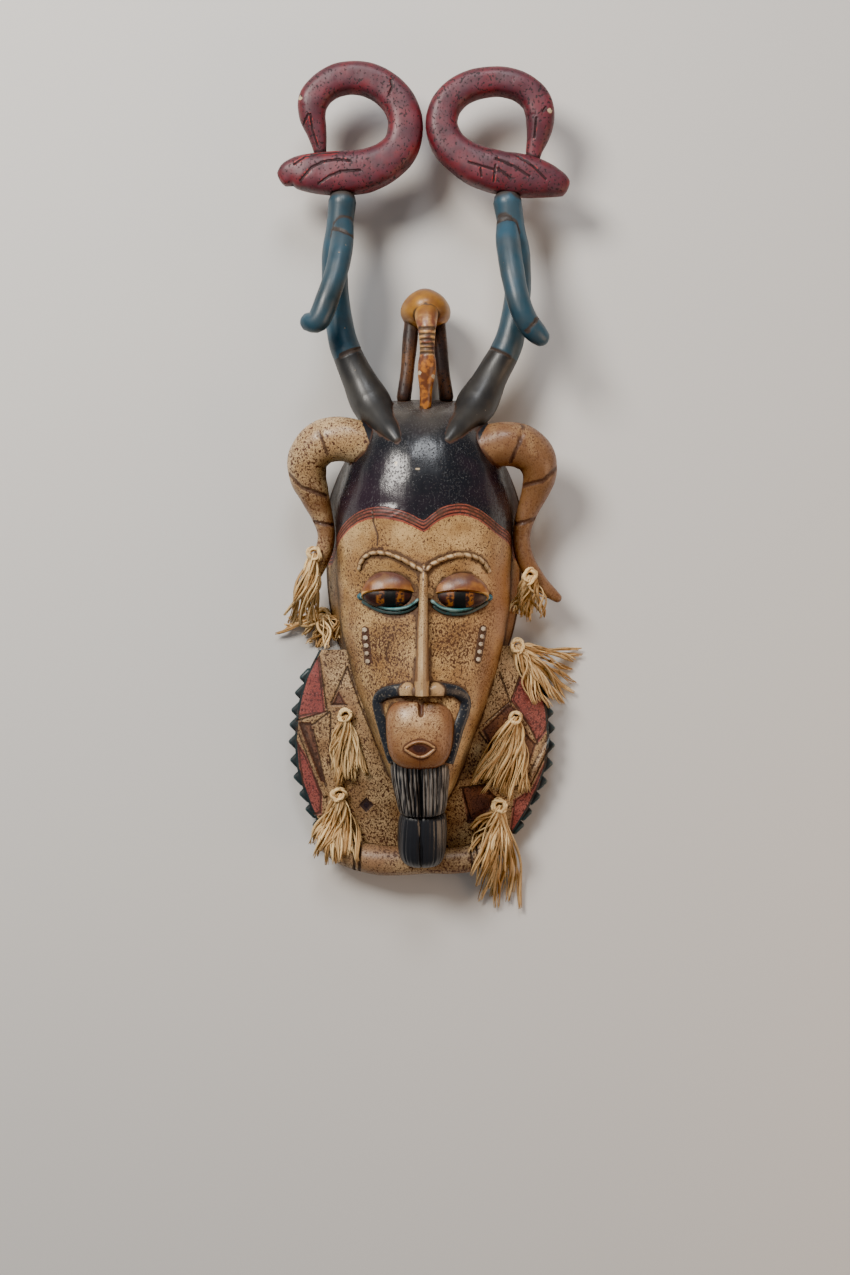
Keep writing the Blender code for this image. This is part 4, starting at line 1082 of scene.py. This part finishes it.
LID_EDGE_TURN = -30
LID_EDGE_DROP = 0.10
LOWER_LID_SIZE = (1.9, 4)
LOWER_LID_LIFT = 3
SHADE_SIZE = (2.6, 3)
SHADE_DROP = 3.2
CORNER_SIZE = (4, 3.4, 4)
LOWER_LID = [(-29, -1.5), (-20.5, -6.5), (-8.5, -12.5), (4.5, -14.4), (18, -12), (28, -5)]
SCARS = [((-58, -30), (-55, -61)), ((58, -29), (53, -59))]
SCAR_COUNT = 5
SCAR_SIZE = 6.2
MOUTH = [(-19, -145.5), (-11, -142), (-4, -141), (3, -142), (11, -145), (3, -150.5), (-4, -152),
         (-11, -150)]
PHILTRUM_CUT = [(-8.5, -94), (2, -94), (-3, -114)]


def face_height(x, y):
    """The height of the face, with its soft modelling, over a place of the layout."""
    return shell_height(x, y) + face_relief(x, y)


def muzzle_height(x, y):
    """The height of the muzzle's bulge over a place of the layout."""
    across = (x - MUZZLE[0]) / MUZZLE_SIZE[0]
    along = (y - MUZZLE[1]) / MUZZLE_SIZE[1]
    bulge = MUZZLE_SIZE[2] * sqrt(max(1 - across ** 2 - along ** 2, 0))
    return max(face_height(*MUZZLE) - MUZZLE_SINK + bulge, face_height(x, y))


def trail(line, half_width, rise, height, sides=14, spacing=1.6, **shape):
    """A raised line that follows a surface."""
    return tube([(x, y, height(x, y), half_width, rise) for x, y in flow(line, 3)],
                sides, spacing, **shape)


def rope(along, turn):
    """The slanting notches along the brow."""
    return 1 - BROW_NOTCH * (0.5 + 0.5 * cos(2 * pi * along / BROW_PITCH + turn)) ** 14


def cut_flat(form, place, way):
    """Cuts a form off at a plane and closes it there."""
    cut = bmesh.ops.bisect_plane(form, geom=form.verts[:] + form.edges[:] + form.faces[:],
                                 plane_co=place, plane_no=way, clear_outer=True)
    rim = [item for item in cut["geom_cut"] if isinstance(item, bmesh.types.BMEdge)]
    bmesh.ops.holes_fill(form, edges=rim)
    bmesh.ops.recalc_face_normals(form, faces=form.faces)
    return form


def nose_form(line, fullness):
    """The ridge or the wings of the nose, cut off flat below."""
    form = tube([(x, y, face_height(x, y), wide, rise) for x, y, wide, rise in line],
                30, 1.6, fullness)
    return cut_flat(form, lay(0, NOSE_BOTTOM, 0), (0, -1, 0))


def lid_form(x, y, height):
    """The heavy upper lid, cut away below along its edge."""
    edge = Matrix.Rotation(radians(LID_EDGE_TURN), 3, "X") @ Vector((0, -1, 0))
    return cut_flat(ball((x, y, height), LID_SIZE, 56, 40),
                    lay(x, y - LID_EDGE_DROP * LID_SIZE[1], height), edge)


def muzzle_form():
    """The muzzle: a ball squared off as seen from the front, and a little wider above."""
    form = ball((*MUZZLE, face_height(*MUZZLE) - MUZZLE_SINK), MUZZLE_SIZE, 64, 46)
    middle = lay(*MUZZLE, 0)
    for vert in form.verts:
        across = (vert.co.x - middle.x) / (MUZZLE_SIZE[0] * MM)
        along = (vert.co.y - middle.y) / (MUZZLE_SIZE[1] * MM)
        reach = hypot(across, along)
        if reach > 0.01:
            corner = abs(across) ** MUZZLE_SQUARENESS + abs(along) ** MUZZLE_SQUARENESS
            square = reach / corner ** (1 / MUZZLE_SQUARENESS)
            vert.co.x += (vert.co.x - middle.x) * (square - 1)
            vert.co.y += (vert.co.y - middle.y) * (square - 1)
            vert.co.x += (vert.co.x - middle.x) * MUZZLE_FLARE * along
    return form


def scar_form(x, y):
    """One small raised scar on the cheek."""
    form = bmesh.new()
    bmesh.ops.create_cone(form, cap_ends=True, segments=6, radius1=SCAR_SIZE * 0.52 * MM,
                          radius2=SCAR_SIZE * 0.30 * MM, depth=SCAR_SIZE * 0.7 * MM)
    bmesh.ops.translate(form, vec=lay(x, y, face_height(x, y)), verts=form.verts)
    return form


def eye_colour(tree):
    """Dark brown ball, orange patches beside a black pupil."""
    across = read(tree, "eye_across")
    brown = patched(tree, (0.045, 0.012, 0.008), (0.020, 0.008, 0.007), 120.0)
    patch = worked(tree, "ABSOLUTE", worked(tree, "SUBTRACT", worked(tree, "ABSOLUTE", across), 9.5))
    colour = over(tree, brown, (0.26, 0.085, 0.012), partly(
        tree, stepped(tree, patch, 5.0, 2.5), stepped(tree, noisy(tree, 260.0, 2.0), 0.42, 0.6)))
    pupil = stepped(tree, worked(tree, "ABSOLUTE", across), 6.0, 5.0)
    return over(tree, colour, (0.004, 0.004, 0.004), pupil), effect(tree, CHIPS, Amount=0.2)


def nose_colour(tree):
    """A pale ridge between sides painted brown as shade."""
    pale, pits = speckled(tree, (0.68, 0.47, 0.25), PIT_BROWN, (0.50, 0.31, 0.14), 0.28)
    # Painted shade: the sides of the ridge, in the valleys beside it, are darkened to brown.
    side = ragged(tree, "nose_across", 150.0, 2.0, 1.6)
    return over(tree, pale, (0.15, 0.062, 0.032), partly(tree, stepped(tree, side, 4.2, 5.6), 0.8)), pits


def muzzle_colour(tree):
    """Pale and scratched above, brown below and at the right as painted shade of the bulge, with a dark
    mouth and philtrum.
    """
    pale, pits = speckled(tree, (0.70, 0.46, 0.24), (0.11, 0.040, 0.016), (0.40, 0.21, 0.085), 0.58)
    scratch = worked(tree, "SUBTRACT", noisy(tree, 55.0, 4.0, (1.0, 1.6, 1.0)), 0.5)
    scratch = stepped(tree, worked(tree, "ABSOLUTE", scratch), 0.014, 0.004)
    pale = over(tree, pale, (0.15, 0.062, 0.030), partly(tree, scratch, 0.6))
    # Painted shade: the muzzle darkens to brown towards its lower right edge, away from the upper left
    # light.
    brown = ragged(tree, "cheek", 60.0, 4.0, 0.5)
    pale = over(tree, pale, (0.20, 0.070, 0.020), partly(tree, stepped(tree, brown, 0.55, 1.2), 0.85))
    return over(tree, pale, (0.045, 0.018, 0.016), stepped(tree, read(tree, "mouth"), 0.3, -0.5)), pits


def lid_colour(tree):
    """Purple brown above, ochre and orange towards the edge."""
    down = read(tree, "eye_down")
    warm = patched(tree, (0.36, 0.145, 0.030), (0.19, 0.060, 0.020), 90.0, 0.14)
    purple = patched(tree, (0.120, 0.046, 0.034), (0.21, 0.10, 0.045), 70.0)
    colour = over(tree, warm, purple, stepped(tree, worked(
        tree, "MULTIPLY_ADD", noisy(tree, 90.0, 3.0), 8.0, down), 12.0, 19.0))
    colour = over(tree, (0.62, 0.33, 0.09), colour, stepped(tree, down, 2.6, 3.6))
    chips = effect(tree, CHIPS, Scale=210.0, Amount=0.5)
    return colour, chips


NOSE_PAINT = finish_paint("nose_paint", nose_colour, 0.36, 0.08, worn=(0.66, 0.48, 0.28),
                          worn_amount=0.45, grime=(0.075, 0.03, 0.018),
                          grime_amount=0.72, coat=0.2)
# The eyeball's near-black grime colour is painted shade under the heavy lid.
EYEBALL_PAINT = finish_paint("eyeball_paint", eye_colour, 0.42, 0.05, grime=(0.004, 0.003, 0.003),
                             grime_amount=0.6)
LID_PAINT = finish_paint("lid_paint", lid_colour, 0.36, 0.08, worn=(0.50, 0.24, 0.07), worn_amount=0.45,
                         grime=(0.05, 0.02, 0.016), coat=0.06)
LOWER_LID_PAINT = speckled_paint(
    "lower_lid_paint", ((0.030, 0.135, 0.145), (0.02, 0.03, 0.03), (0.05, 0.20, 0.21)),
    0.4, 0.36, worn=(0.20, 0.34, 0.33), worn_amount=0.62, grime=(0.012, 0.03, 0.034))
LOWER_LID_SHADE = speckled_paint(
    "lower_lid_shade", ((0.022, 0.075, 0.085), (0.06, 0.04, 0.03), (0.05, 0.09, 0.085)),
    0.4, 0.4, grime=(0.03, 0.03, 0.025))
CORNER_PAINT = speckled_paint(
    "corner_paint", ((0.040, 0.19, 0.26), (0.02, 0.03, 0.03), (0.05, 0.14, 0.17)),
    0.4, 0.36, grime=(0.012, 0.03, 0.034))
BROW_PAINT = speckled_paint(
    "brow_paint", ((0.60, 0.42, 0.22), (0.10, 0.045, 0.022), (0.42, 0.25, 0.11)),
    0.4, 0.40, worn=(0.66, 0.48, 0.28), worn_amount=0.4, grime=(0.06, 0.025, 0.012), grime_amount=0.25)
MUZZLE_PAINT = finish_paint("muzzle_paint", muzzle_colour, 0.38, 0.08, worn=(0.62, 0.42, 0.22),
                            worn_amount=0.3, grime=(0.10, 0.030, 0.012), grime_amount=0.62, coat=0.1)
LIP_PAINT = speckled_paint(
    "lip_paint", ((0.58, 0.36, 0.17), (0.11, 0.042, 0.020), (0.36, 0.17, 0.07)),
    0.35, 0.38, grime=(0.10, 0.030, 0.012), grime_amount=0.2, coat=0.1)
HAIR_PAINT = speckled_paint(
    "hair_paint", ((0.011, 0.013, 0.018), (0.20, 0.17, 0.13), (0.022, 0.025, 0.032)),
    0.22, 0.36, size=300.0, worn=(0.17, 0.16, 0.14), worn_amount=0.2)
SCAR_PAINT = speckled_paint(
    "scar_paint", ((0.64, 0.52, 0.38), (0.14, 0.07, 0.04), (0.50, 0.38, 0.26)),
    0.3, 0.42, grime_amount=0.05)

for line, fullness in ((NOSE, 1.5), (NOSTRILS, 2.4)):
    carve(nose_form(line, fullness), NOSE_PAINT)
carve(trail(BROW, BROW_WIDTH / 2, BROW_WIDTH * 0.7, face_height, 14, 1.2, swell=rope), BROW_PAINT)
muzzle = muzzle_form()
incise(muzzle, PHILTRUM, *PHILTRUM_SIZE, marked=False)
carve(muzzle, MUZZLE_PAINT)
for lip in (UPPER_LIP, LOWER_LIP):
    carve(trail(lip, *LIP_SIZE, muzzle_height, 12, 1.4), LIP_PAINT)
for line in (LEFT_MOUSTACHE, RIGHT_MOUSTACHE):
    inward = MOUSTACHE_INSET if line[0][0] < 0 else -MOUSTACHE_INSET
    carve(trail([(x + inward, y) for x, y in line], *MOUSTACHE_SIZE, face_height, 20, 2.0,
                fullness=3.2, blunt=0.3), HAIR_PAINT)
for side, (x, y) in zip((1, -1), EYES):
    seat = face_height(x, y)
    carve(ball((x, y, seat), EYEBALL_SIZE, 48, 32), EYEBALL_PAINT)
    carve(lid_form(x, y, seat), LID_PAINT)
    rim = [(x + side * dx, y + dy) for dx, dy in LOWER_LID]
    carve(trail(rim, *LOWER_LID_SIZE, lambda a, b: face_height(a, b) + LOWER_LID_LIFT, 12, 1.7),
          LOWER_LID_PAINT)
    carve(trail([(a, b - SHADE_DROP) for a, b in rim], *SHADE_SIZE, face_height, 12, 2.2),
          LOWER_LID_SHADE)
    carve(ball((*rim[0], face_height(*rim[0])), CORNER_SIZE, 14, 10), CORNER_PAINT)
for upper, lower in SCARS:
    for number in range(SCAR_COUNT):
        share = number / (SCAR_COUNT - 1)
        carve(scar_form(*[a + (b - a) * share for a, b in zip(upper, lower)]), SCAR_PAINT)


# The carving: all the forms above are one block of wood. They are joined, hollowed behind, given
# the slight waver of hand work, and measured for the paint.
def as_object(name, form):
    """A mesh object with every paint of the carving."""
    mesh = bpy.data.meshes.new(name)
    form.to_mesh(mesh)
    form.free()
    for paint in paints:
        mesh.materials.append(paint)
    item = bpy.data.objects.new(name, mesh)
    bpy.context.scene.collection.objects.link(item)
    return item


def join_all(forms):
    """The union of all the forms as one mesh, less the hollow behind the face."""
    first = as_object("carving", forms[0])
    others = bpy.data.collections.new("forms")
    bpy.context.scene.collection.children.link(others)
    for number, form in enumerate(forms[1:]):
        item = as_object(f"form_{number}", form)
        bpy.context.scene.collection.objects.unlink(item)
        others.objects.link(item)
    hollow = hollow_form()
    for face in hollow.faces:
        face.material_index = RAW_WOOD
        face.smooth = True
    cutter = as_object("hollow", hollow)
    union = first.modifiers.new("union", "BOOLEAN")
    union.operation = "UNION"
    union.solver = "MANIFOLD"
    union.operand_type = "COLLECTION"
    union.collection = others
    cut = first.modifiers.new("cut", "BOOLEAN")
    cut.operation = "DIFFERENCE"
    cut.solver = "MANIFOLD"
    cut.object = cutter
    graph = bpy.context.evaluated_depsgraph_get()
    mesh = bpy.data.meshes.new_from_object(first.evaluated_get(graph))
    for item in list(others.objects) + [first, cutter]:
        bpy.data.objects.remove(item, do_unlink=True)
    bpy.data.collections.remove(others)
    return mesh


carved_mesh = join_all(carving)
carved_mesh.name = "carved_mask"


def read_points(mesh):
    """A mesh's points and their normals as arrays."""
    points = np.empty(len(mesh.vertices) * 3, dtype=np.float32)
    mesh.vertices.foreach_get("co", points)
    normals = np.empty(len(mesh.vertices) * 3, dtype=np.float32)
    mesh.vertex_normals.foreach_get("vector", normals)
    return points.reshape(-1, 3).astype(float), normals.reshape(-1, 3).astype(float)


def around(values, pairs):
    """The mean of each point's neighbours, for values in rows."""
    count = np.maximum(np.bincount(pairs.ravel(), minlength=len(values)), 1)
    sums = [np.bincount(pairs[:, 0], column[pairs[:, 1]], len(values))
            + np.bincount(pairs[:, 1], column[pairs[:, 0]], len(values)) for column in values.T]
    return np.column_stack(sums) / count[:, None]


def side_of(places, start, end):
    """How far each place lies to the left of a line from start to end."""
    run = np.array(end, dtype=float) - start
    away = places - np.array(start, dtype=float)
    return (run[0] * away[:, 1] - run[1] * away[:, 0]) / np.linalg.norm(run)


HAND_WAVER = 0.55
WAVER_SCALE = 42
RIPPLE_SCALE = 110
EDGE_RADIUS = 4
CORNER_RADIUS = 7
points, normals = read_points(carved_mesh)
waver = np.array([noise.noise(Vector(p) * WAVER_SCALE) + 0.4 * noise.noise(Vector(p) * RIPPLE_SCALE)
                  for p in points])
on_rim = points[:, 2] < 0.5 * MM
points += normals * (waver * HAND_WAVER * MM * ~on_rim)[:, None]
points[on_rim, 2] = 0
points[:, 2] = np.maximum(points[:, 2], 0)
carved_mesh.vertices.foreach_set("co", points.astype(np.float32).ravel())
carved_mesh.update()
points, normals = read_points(carved_mesh)
pairs = np.empty(len(carved_mesh.edges) * 2, dtype=np.int32)
carved_mesh.edges.foreach_get("vertices", pairs)
pairs = pairs.reshape(-1, 2)
spans = np.sum((points[pairs[:, 0]] - points[pairs[:, 1]]) ** 2, axis=1)
reach = np.bincount(pairs.ravel(), np.repeat(spans, 2)) / np.bincount(pairs.ravel())
bulge = 2 * np.einsum("ij,ij->i", normals, points - around(points, pairs)) / np.maximum(reach, 1e-9)
proud = np.clip(bulge * EDGE_RADIUS * MM, -1.5, 1.5)
sunk = np.clip(-bulge * CORNER_RADIUS * MM, 0, 1.5)
for _ in range(2):
    proud = 0.4 * proud + 0.6 * around(proud[:, None], pairs)[:, 0]
for _ in range(3):
    sunk = 0.4 * sunk + 0.6 * around(sunk[:, None], pairs)[:, 0]
places = np.column_stack([(points[:, 0] - MIDDLE_LINE) / MM, (points[:, 1] - EYE_LINE) / MM])
across, along = places.T
left = across < 0
measures = {
    "edge": np.clip(proud, -1, 1),
    "hollow": np.clip(1.6 * sunk, 0, 1),
    # up: how much the surface faces up; the head's side walls take painted shade from it and the birds'
    # tops a painted sheen.
    "up": normals[:, 2],
    "cut": np.where(normals[:, 2] > 0.1, near(places, cut_lines), 9),
    "chip": near(places, [[chip, chip] for chip in BIRD_CHIPS + HORNBILL_EYES + SKULL_CHIPS]),
    "scar": near(places, [list(ends) for ends in SCARS]),
    "mouth": polygon_distance(places, [MOUTH, PHILTRUM_CUT]),
    # cheek: distance from a point up and left of the muzzle's middle, for the muzzle's painted shade.
    "cheek": np.hypot((across - MUZZLE[0] + 4) / MUZZLE_SIZE[0],
                      (along - MUZZLE[1] - 8) / MUZZLE_SIZE[1]),
    "stain": np.clip((150 - along) / 90, 0, 0.6) + 0.75 * (across > 0),
    # dark: the painted shade of the wing's hole.
    "dark": polygon_distance(places, HOLE_SHADE_PATCHES),
    "nose_across": np.abs(across - np.interp(-along, [-row[1] for row in NOSE],
                                                   [row[0] for row in NOSE])) * (along > -80),
    "hair": hair_distance(across, along),
    # warm: the right of the face, lower down, which takes painted shade and reflected warm light as well
    # as its own tone.
    "warm": np.clip((across - 35) / 55, 0, 1) * np.clip((60 - along) / 40, 0.35, 1),
    "lean": np.exp(-(((np.abs(across) - 42) / 30) ** 2 + ((along + 50) / 45) ** 2)),
    "crown": np.clip((along - 150) / 40, 0, 1),
    "root": np.where(left, side_of(places, (-60, 172), (-46, 134)),
                     side_of(places, (42, 134), (62, 172))),
    "foot": np.where(left, side_of(places, (-52, 257), (-84, 243)),
                     side_of(places, (86, 243), (53, 259))),
    "tip": np.clip((-across - 108) / 6, 0, 1) * (along < 35),
    "red": polygon_distance(places, LEFT_REDS + RIGHT_REDS),
    "brown": polygon_distance(places, LEFT_BROWNS + RIGHT_BROWNS),
    "rim": np.where(left, across - wing_row(LEFT_WING, along)[1],
                    wing_row(RIGHT_WING, along)[1] - across),
    "eye_across": np.where(left, across - EYES[0][0], across - EYES[1][0]),
    "eye_down": np.where(left, along - EYES[0][1], along - EYES[1][1]),
}
for label, values in measures.items():
    layer = carved_mesh.attributes.new(label, "FLOAT", "POINT")
    layer.data.foreach_set("value", values.astype(np.float32))
carved_mesh.shade_smooth()
carved_mesh.set_sharp_from_angle(angle=radians(42))
carved_mask = bpy.data.objects.new("carved_mask", carved_mesh)
bpy.context.scene.collection.objects.link(carved_mask)
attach(carved_mask, "root")
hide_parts("mask")


# The raffia: eight tassels of split palm leaf, each knotted through the carving at its root. The
# strands twist together in locks and lie over the wood, straw coloured and matt.
STRAW_PALE = (1.0, 0.73, 0.37)
STRAW_BROWN = (0.42, 0.22, 0.07)
FIBRE_BROWN = (0.28, 0.14, 0.045)
TASSELS = {
    "left_horn": ((-110, 46), [(-146, -22), (-133, -27), (-118, -26), (-104, -24)], 9),
    "left_shoulder": ((-104, -14), [(-152, -38), (-143, -16), (-122, -50), (-96, -52), (-84, -36)], 11),
    "left_wing_low": ((-86, -196), [(-120, -252), (-103, -268), (-84, -272), (-62, -266)], 12),
    "left_wing": ((-79, -116), [(-96, -184), (-84, -190), (-70, -188), (-54, -176)], 12),
    "right_horn": ((106, 24), [(88, -13), (98, -22), (111, -21), (124, -18)], 8),
    "right_shoulder": ((94, -46), [(168, -45), (166, -72), (152, -108), (132, -108), (113, -122)], 13),
    "right_wing_low": ((76, -208), [(42, -222), (53, -314), (77, -320), (104, -316)], 12),
    "right_wing": ((92, -118), [(46, -180), (58, -200), (82, -202), (108, -204)], 14),
}
STRANDS_IN_LOCK = 5
STRAND_WIDTHS = (2.0, 3.6)
STRAND_THICKNESS = 1.0
KNOT_LOOPS = 7
KNOT_WIDTHS = (4.5, 8.5)
KNOT_NARROW = 5.0
KNOT_RISE = 3.6
KNOT_STRAND = (4.0, 2.8)
STRAND_ROWS = 14
DRAPE_SLOPE = 0.9
CHANCE = Random(11)


def raffia_material():
    """Matt straw with lengthwise fibre and some paler and browner strands."""
    material = coloured("raffia_straw", (*STRAW_PALE, 1), 0.8)
    tree = material.node_tree
    shader = tree.nodes["Principled BSDF"]
    shade = read(tree, "shade")
    fibre = noisy(tree, 700.0, 3.0, (1.0, 0.25, 1.0))
    colour = over(tree, STRAW_PALE, STRAW_BROWN, shade)
    colour = over(tree, colour, FIBRE_BROWN, stepped(tree, fibre, 0.58, 0.76))
    tree.links.new(colour, shader.inputs["Base Color"])
    bump = tree.nodes.new("ShaderNodeBump")
    bump.inputs["Distance"].default_value = 0.0004
    tree.links.new(fibre, bump.inputs["Height"])
    tree.links.new(bump.outputs["Normal"], shader.inputs["Normal"])
    return material


RAFFIA = raffia_material()
ground_tree = BVHTree.FromPolygons([Vector(p) for p in points],
                                   [list(p.vertices) for p in carved_mesh.polygons])


def ground(x, y, reach=2.0):
    """The height of the wood, or of the floor, under a small square."""
    level = 0.0
    for dx in (-reach, 0, reach):
        for dy in (-reach, 0, reach):
            hit = ground_tree.ray_cast(lay(x + dx, y + dy, 400), Vector((0, 0, -1)))[0]
            if hit:
                level = max(level, hit.z / MM)
    return level


def strand(form, line, width, thickness, twist, shade, shades):
    """One flat twisted strand along a line of points."""
    last = len(line) - 1
    made = bmesh.ops.create_grid(form, x_segments=4, y_segments=last, size=1.0)["verts"]
    line = np.array(line)
    tangents = np.gradient(line, axis=0)
    for vert in made:
        number = round((vert.co.y + 1) / 2 * last)
        corner = round((vert.co.x + 1) / 2 * 4) % 4
        tangent = Vector(tangents[number]).normalized()
        sideways = tangent.cross(Vector((0, 0, 1))).normalized()
        upward = sideways.cross(tangent)
        turn = twist * number / last
        taper = (0.35 + 0.65 * min(number / 2, 1)) * (1 - 0.75 * max(number - last + 2, 0) / 2)
        flat = [(1, 0), (0, 1), (-1, 0), (0, -1)][corner]
        reach_x = flat[0] * width / 2 * taper
        reach_z = flat[1] * thickness / 2
        offset = (sideways * (reach_x * cos(turn) - reach_z * sin(turn))
                  + upward * (reach_x * sin(turn) + reach_z * cos(turn)))
        vert.co = lay(*(line[number] + np.array(offset)))
        vert.co.z = max(vert.co.z, 0)
        vert[shades] = shade


def lock_line(root, end, level):
    """The line of a lock from its knot to its end, lying over the wood."""
    start = np.array([root[0], root[1]])
    end = np.array(end)
    side = np.array([-(end - start)[1], (end - start)[0]])
    side = side / max(np.linalg.norm(side), 1)
    bow = CHANCE.uniform(-5, 5)
    shares = np.linspace(0, 1, STRAND_ROWS + 1)
    flat = [start + (end - start) * share + side * bow * sin(pi * share)
            + side * 1.6 * sin(7 * share + bow) for share in shares]
    under = [ground(*point) for point in flat]
    step_length = np.linalg.norm(end - start) / STRAND_ROWS
    heights = [max(other_level - DRAPE_SLOPE * step_length * abs(number - other)
                   for other, other_level in enumerate(under)) for number in range(len(flat))]
    return [(point[0], point[1], height + level) for point, height in zip(flat, heights)]


def lock(form, middle, shades):
    """A lock: strands that twist round each other along its middle line."""
    turns = CHANCE.uniform(3, 7)
    for index in range(STRANDS_IN_LOCK):
        phase = 2 * pi * index / STRANDS_IN_LOCK + CHANCE.uniform(-0.5, 0.5)
        shade = CHANCE.random()
        stray = CHANCE.uniform(0.5, 1.9)
        line = []
        for row, (x, y, z) in enumerate(middle):
            share = row / STRAND_ROWS
            radius = (1.8 + 1.7 * sin(pi * min(share * 1.15, 1))) * stray
            line.append((x + radius * cos(phase + turns * share),
                         y + radius * 0.4 * sin(1.7 * phase + turns * share),
                         z + 0.6 * radius * sin(phase + turns * share) + 0.6))
        strand(form, line, CHANCE.uniform(*STRAND_WIDTHS), STRAND_THICKNESS, CHANCE.uniform(-6, 6),
               shade, shades)


def knot(form, root, shades):
    """The knot at the root: thick strands wound round in flat loops."""
    level = ground(*root, 4.0) + 4.5
    for loop in range(KNOT_LOOPS):
        tilt = CHANCE.uniform(0, pi)
        wide = CHANCE.uniform(*KNOT_WIDTHS)
        line = []
        for turn in np.linspace(0, 2.1 * pi, STRAND_ROWS + 1):
            line.append((root[0] + wide * cos(turn) * cos(tilt) - KNOT_NARROW * sin(turn) * sin(tilt),
                         root[1] + wide * cos(turn) * sin(tilt) + KNOT_NARROW * sin(turn) * cos(tilt),
                         level + KNOT_RISE * sin(2 * turn + loop)))
        strand(form, line, *KNOT_STRAND, 2.0, CHANCE.uniform(0, 0.5), shades)


def tassel(name, root, ends, locks):
    """A tassel: a knot at the root and twisted locks of strands that end along a fan."""
    form = bmesh.new()
    shades = form.verts.layers.float.new("shade")
    fan = np.array(ends, dtype=float)
    for number in range(locks):
        place = (number + 0.5) / locks * (len(fan) - 1)
        tip = fan[int(place)] + (fan[min(int(place) + 1, len(fan) - 1)] - fan[int(place)]) * (place % 1)
        tip = np.array(root) + (tip - root) * CHANCE.uniform(0.80, 1.0)
        lock(form, lock_line(root, tip, 2.0 + CHANCE.uniform(0, 5.0)), shades)
    knot(form, root, shades)
    bmesh.ops.remove_doubles(form, verts=form.verts, dist=1e-6)
    bmesh.ops.holes_fill(form, edges=form.edges)
    bmesh.ops.recalc_face_normals(form, faces=form.faces)
    mesh = bpy.data.meshes.new("raffia_" + name)
    form.to_mesh(mesh)
    form.free()
    mesh.shade_smooth()
    mesh.materials.append(RAFFIA)
    piece = bpy.data.objects.new("raffia_" + name, mesh)
    bpy.context.scene.collection.objects.link(piece)
    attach(piece, "root")
    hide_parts("tassel_" + name)


for name, (root, ends, locks) in TASSELS.items():
    tassel(name, root, ends, locks)


# The room: a pale floor under the lying mask, a broad soft lamp beyond its upper left, two weaker
# ones, and a camera straight above, as far from the mask as the photograph's was.
CAMERA_HEIGHT = 2.06
SHARP_LEVEL = 0.06
PICTURE_HEIGHT = 1.275
PICTURE_CENTRE = (1.0, -37.5)
FLOOR_COLOUR = (0.74, 0.72, 0.69, 1)
LAMPS = [("window_lamp", (-1.15, 1.15, 1.85), 0.9, 104, (1.0, 0.95, 0.88)),
         ("low_lamp", (1.6, -0.7, 0.8), 1.2, 20, (1.0, 0.66, 0.40)),
         ("over_lamp", (0.05, 1.75, 1.7), 0.8, 34, (0.93, 0.96, 1.0))]

floor_mesh = bpy.data.meshes.new("floor")
floor_form = bmesh.new()
bmesh.ops.create_grid(floor_form, x_segments=1, y_segments=1, size=4.0)
floor_form.to_mesh(floor_mesh)
floor_form.free()
floor_mesh.materials.append(coloured("floor_paint", FLOOR_COLOUR, 0.8))
floor = bpy.data.objects.new("floor", floor_mesh)
bpy.context.scene.collection.objects.link(floor)

camera_data = bpy.data.cameras.new("camera")
camera_data.sensor_fit = "VERTICAL"
camera_data.sensor_height = 36
camera_data.lens = camera_data.sensor_height * (CAMERA_HEIGHT - SHARP_LEVEL) / PICTURE_HEIGHT
camera = bpy.data.objects.new("camera", camera_data)
camera.location = lay(*PICTURE_CENTRE, CAMERA_HEIGHT / MM)
bpy.context.scene.collection.objects.link(camera)
bpy.context.scene.camera = camera

for name, spot, width, power, tint in LAMPS:
    lamp_data = bpy.data.lights.new(name, "AREA")
    lamp_data.shape = "DISK"
    lamp_data.size = width
    lamp_data.energy = power
    lamp_data.color = tint
    lamp = bpy.data.objects.new(name, lamp_data)
    lamp.location = spot
    lamp.rotation_euler = (-Vector(spot)).to_track_quat("-Z", "Y").to_euler()
    bpy.context.scene.collection.objects.link(lamp)
world = bpy.data.worlds.new("room")
world.use_nodes = True
world.node_tree.nodes["Background"].inputs["Color"].default_value = (0.86, 0.88, 0.92, 1)
world.node_tree.nodes["Background"].inputs["Strength"].default_value = 0.36
bpy.context.scene.world = world
bpy.context.scene.view_settings.look = "AgX - Punchy"
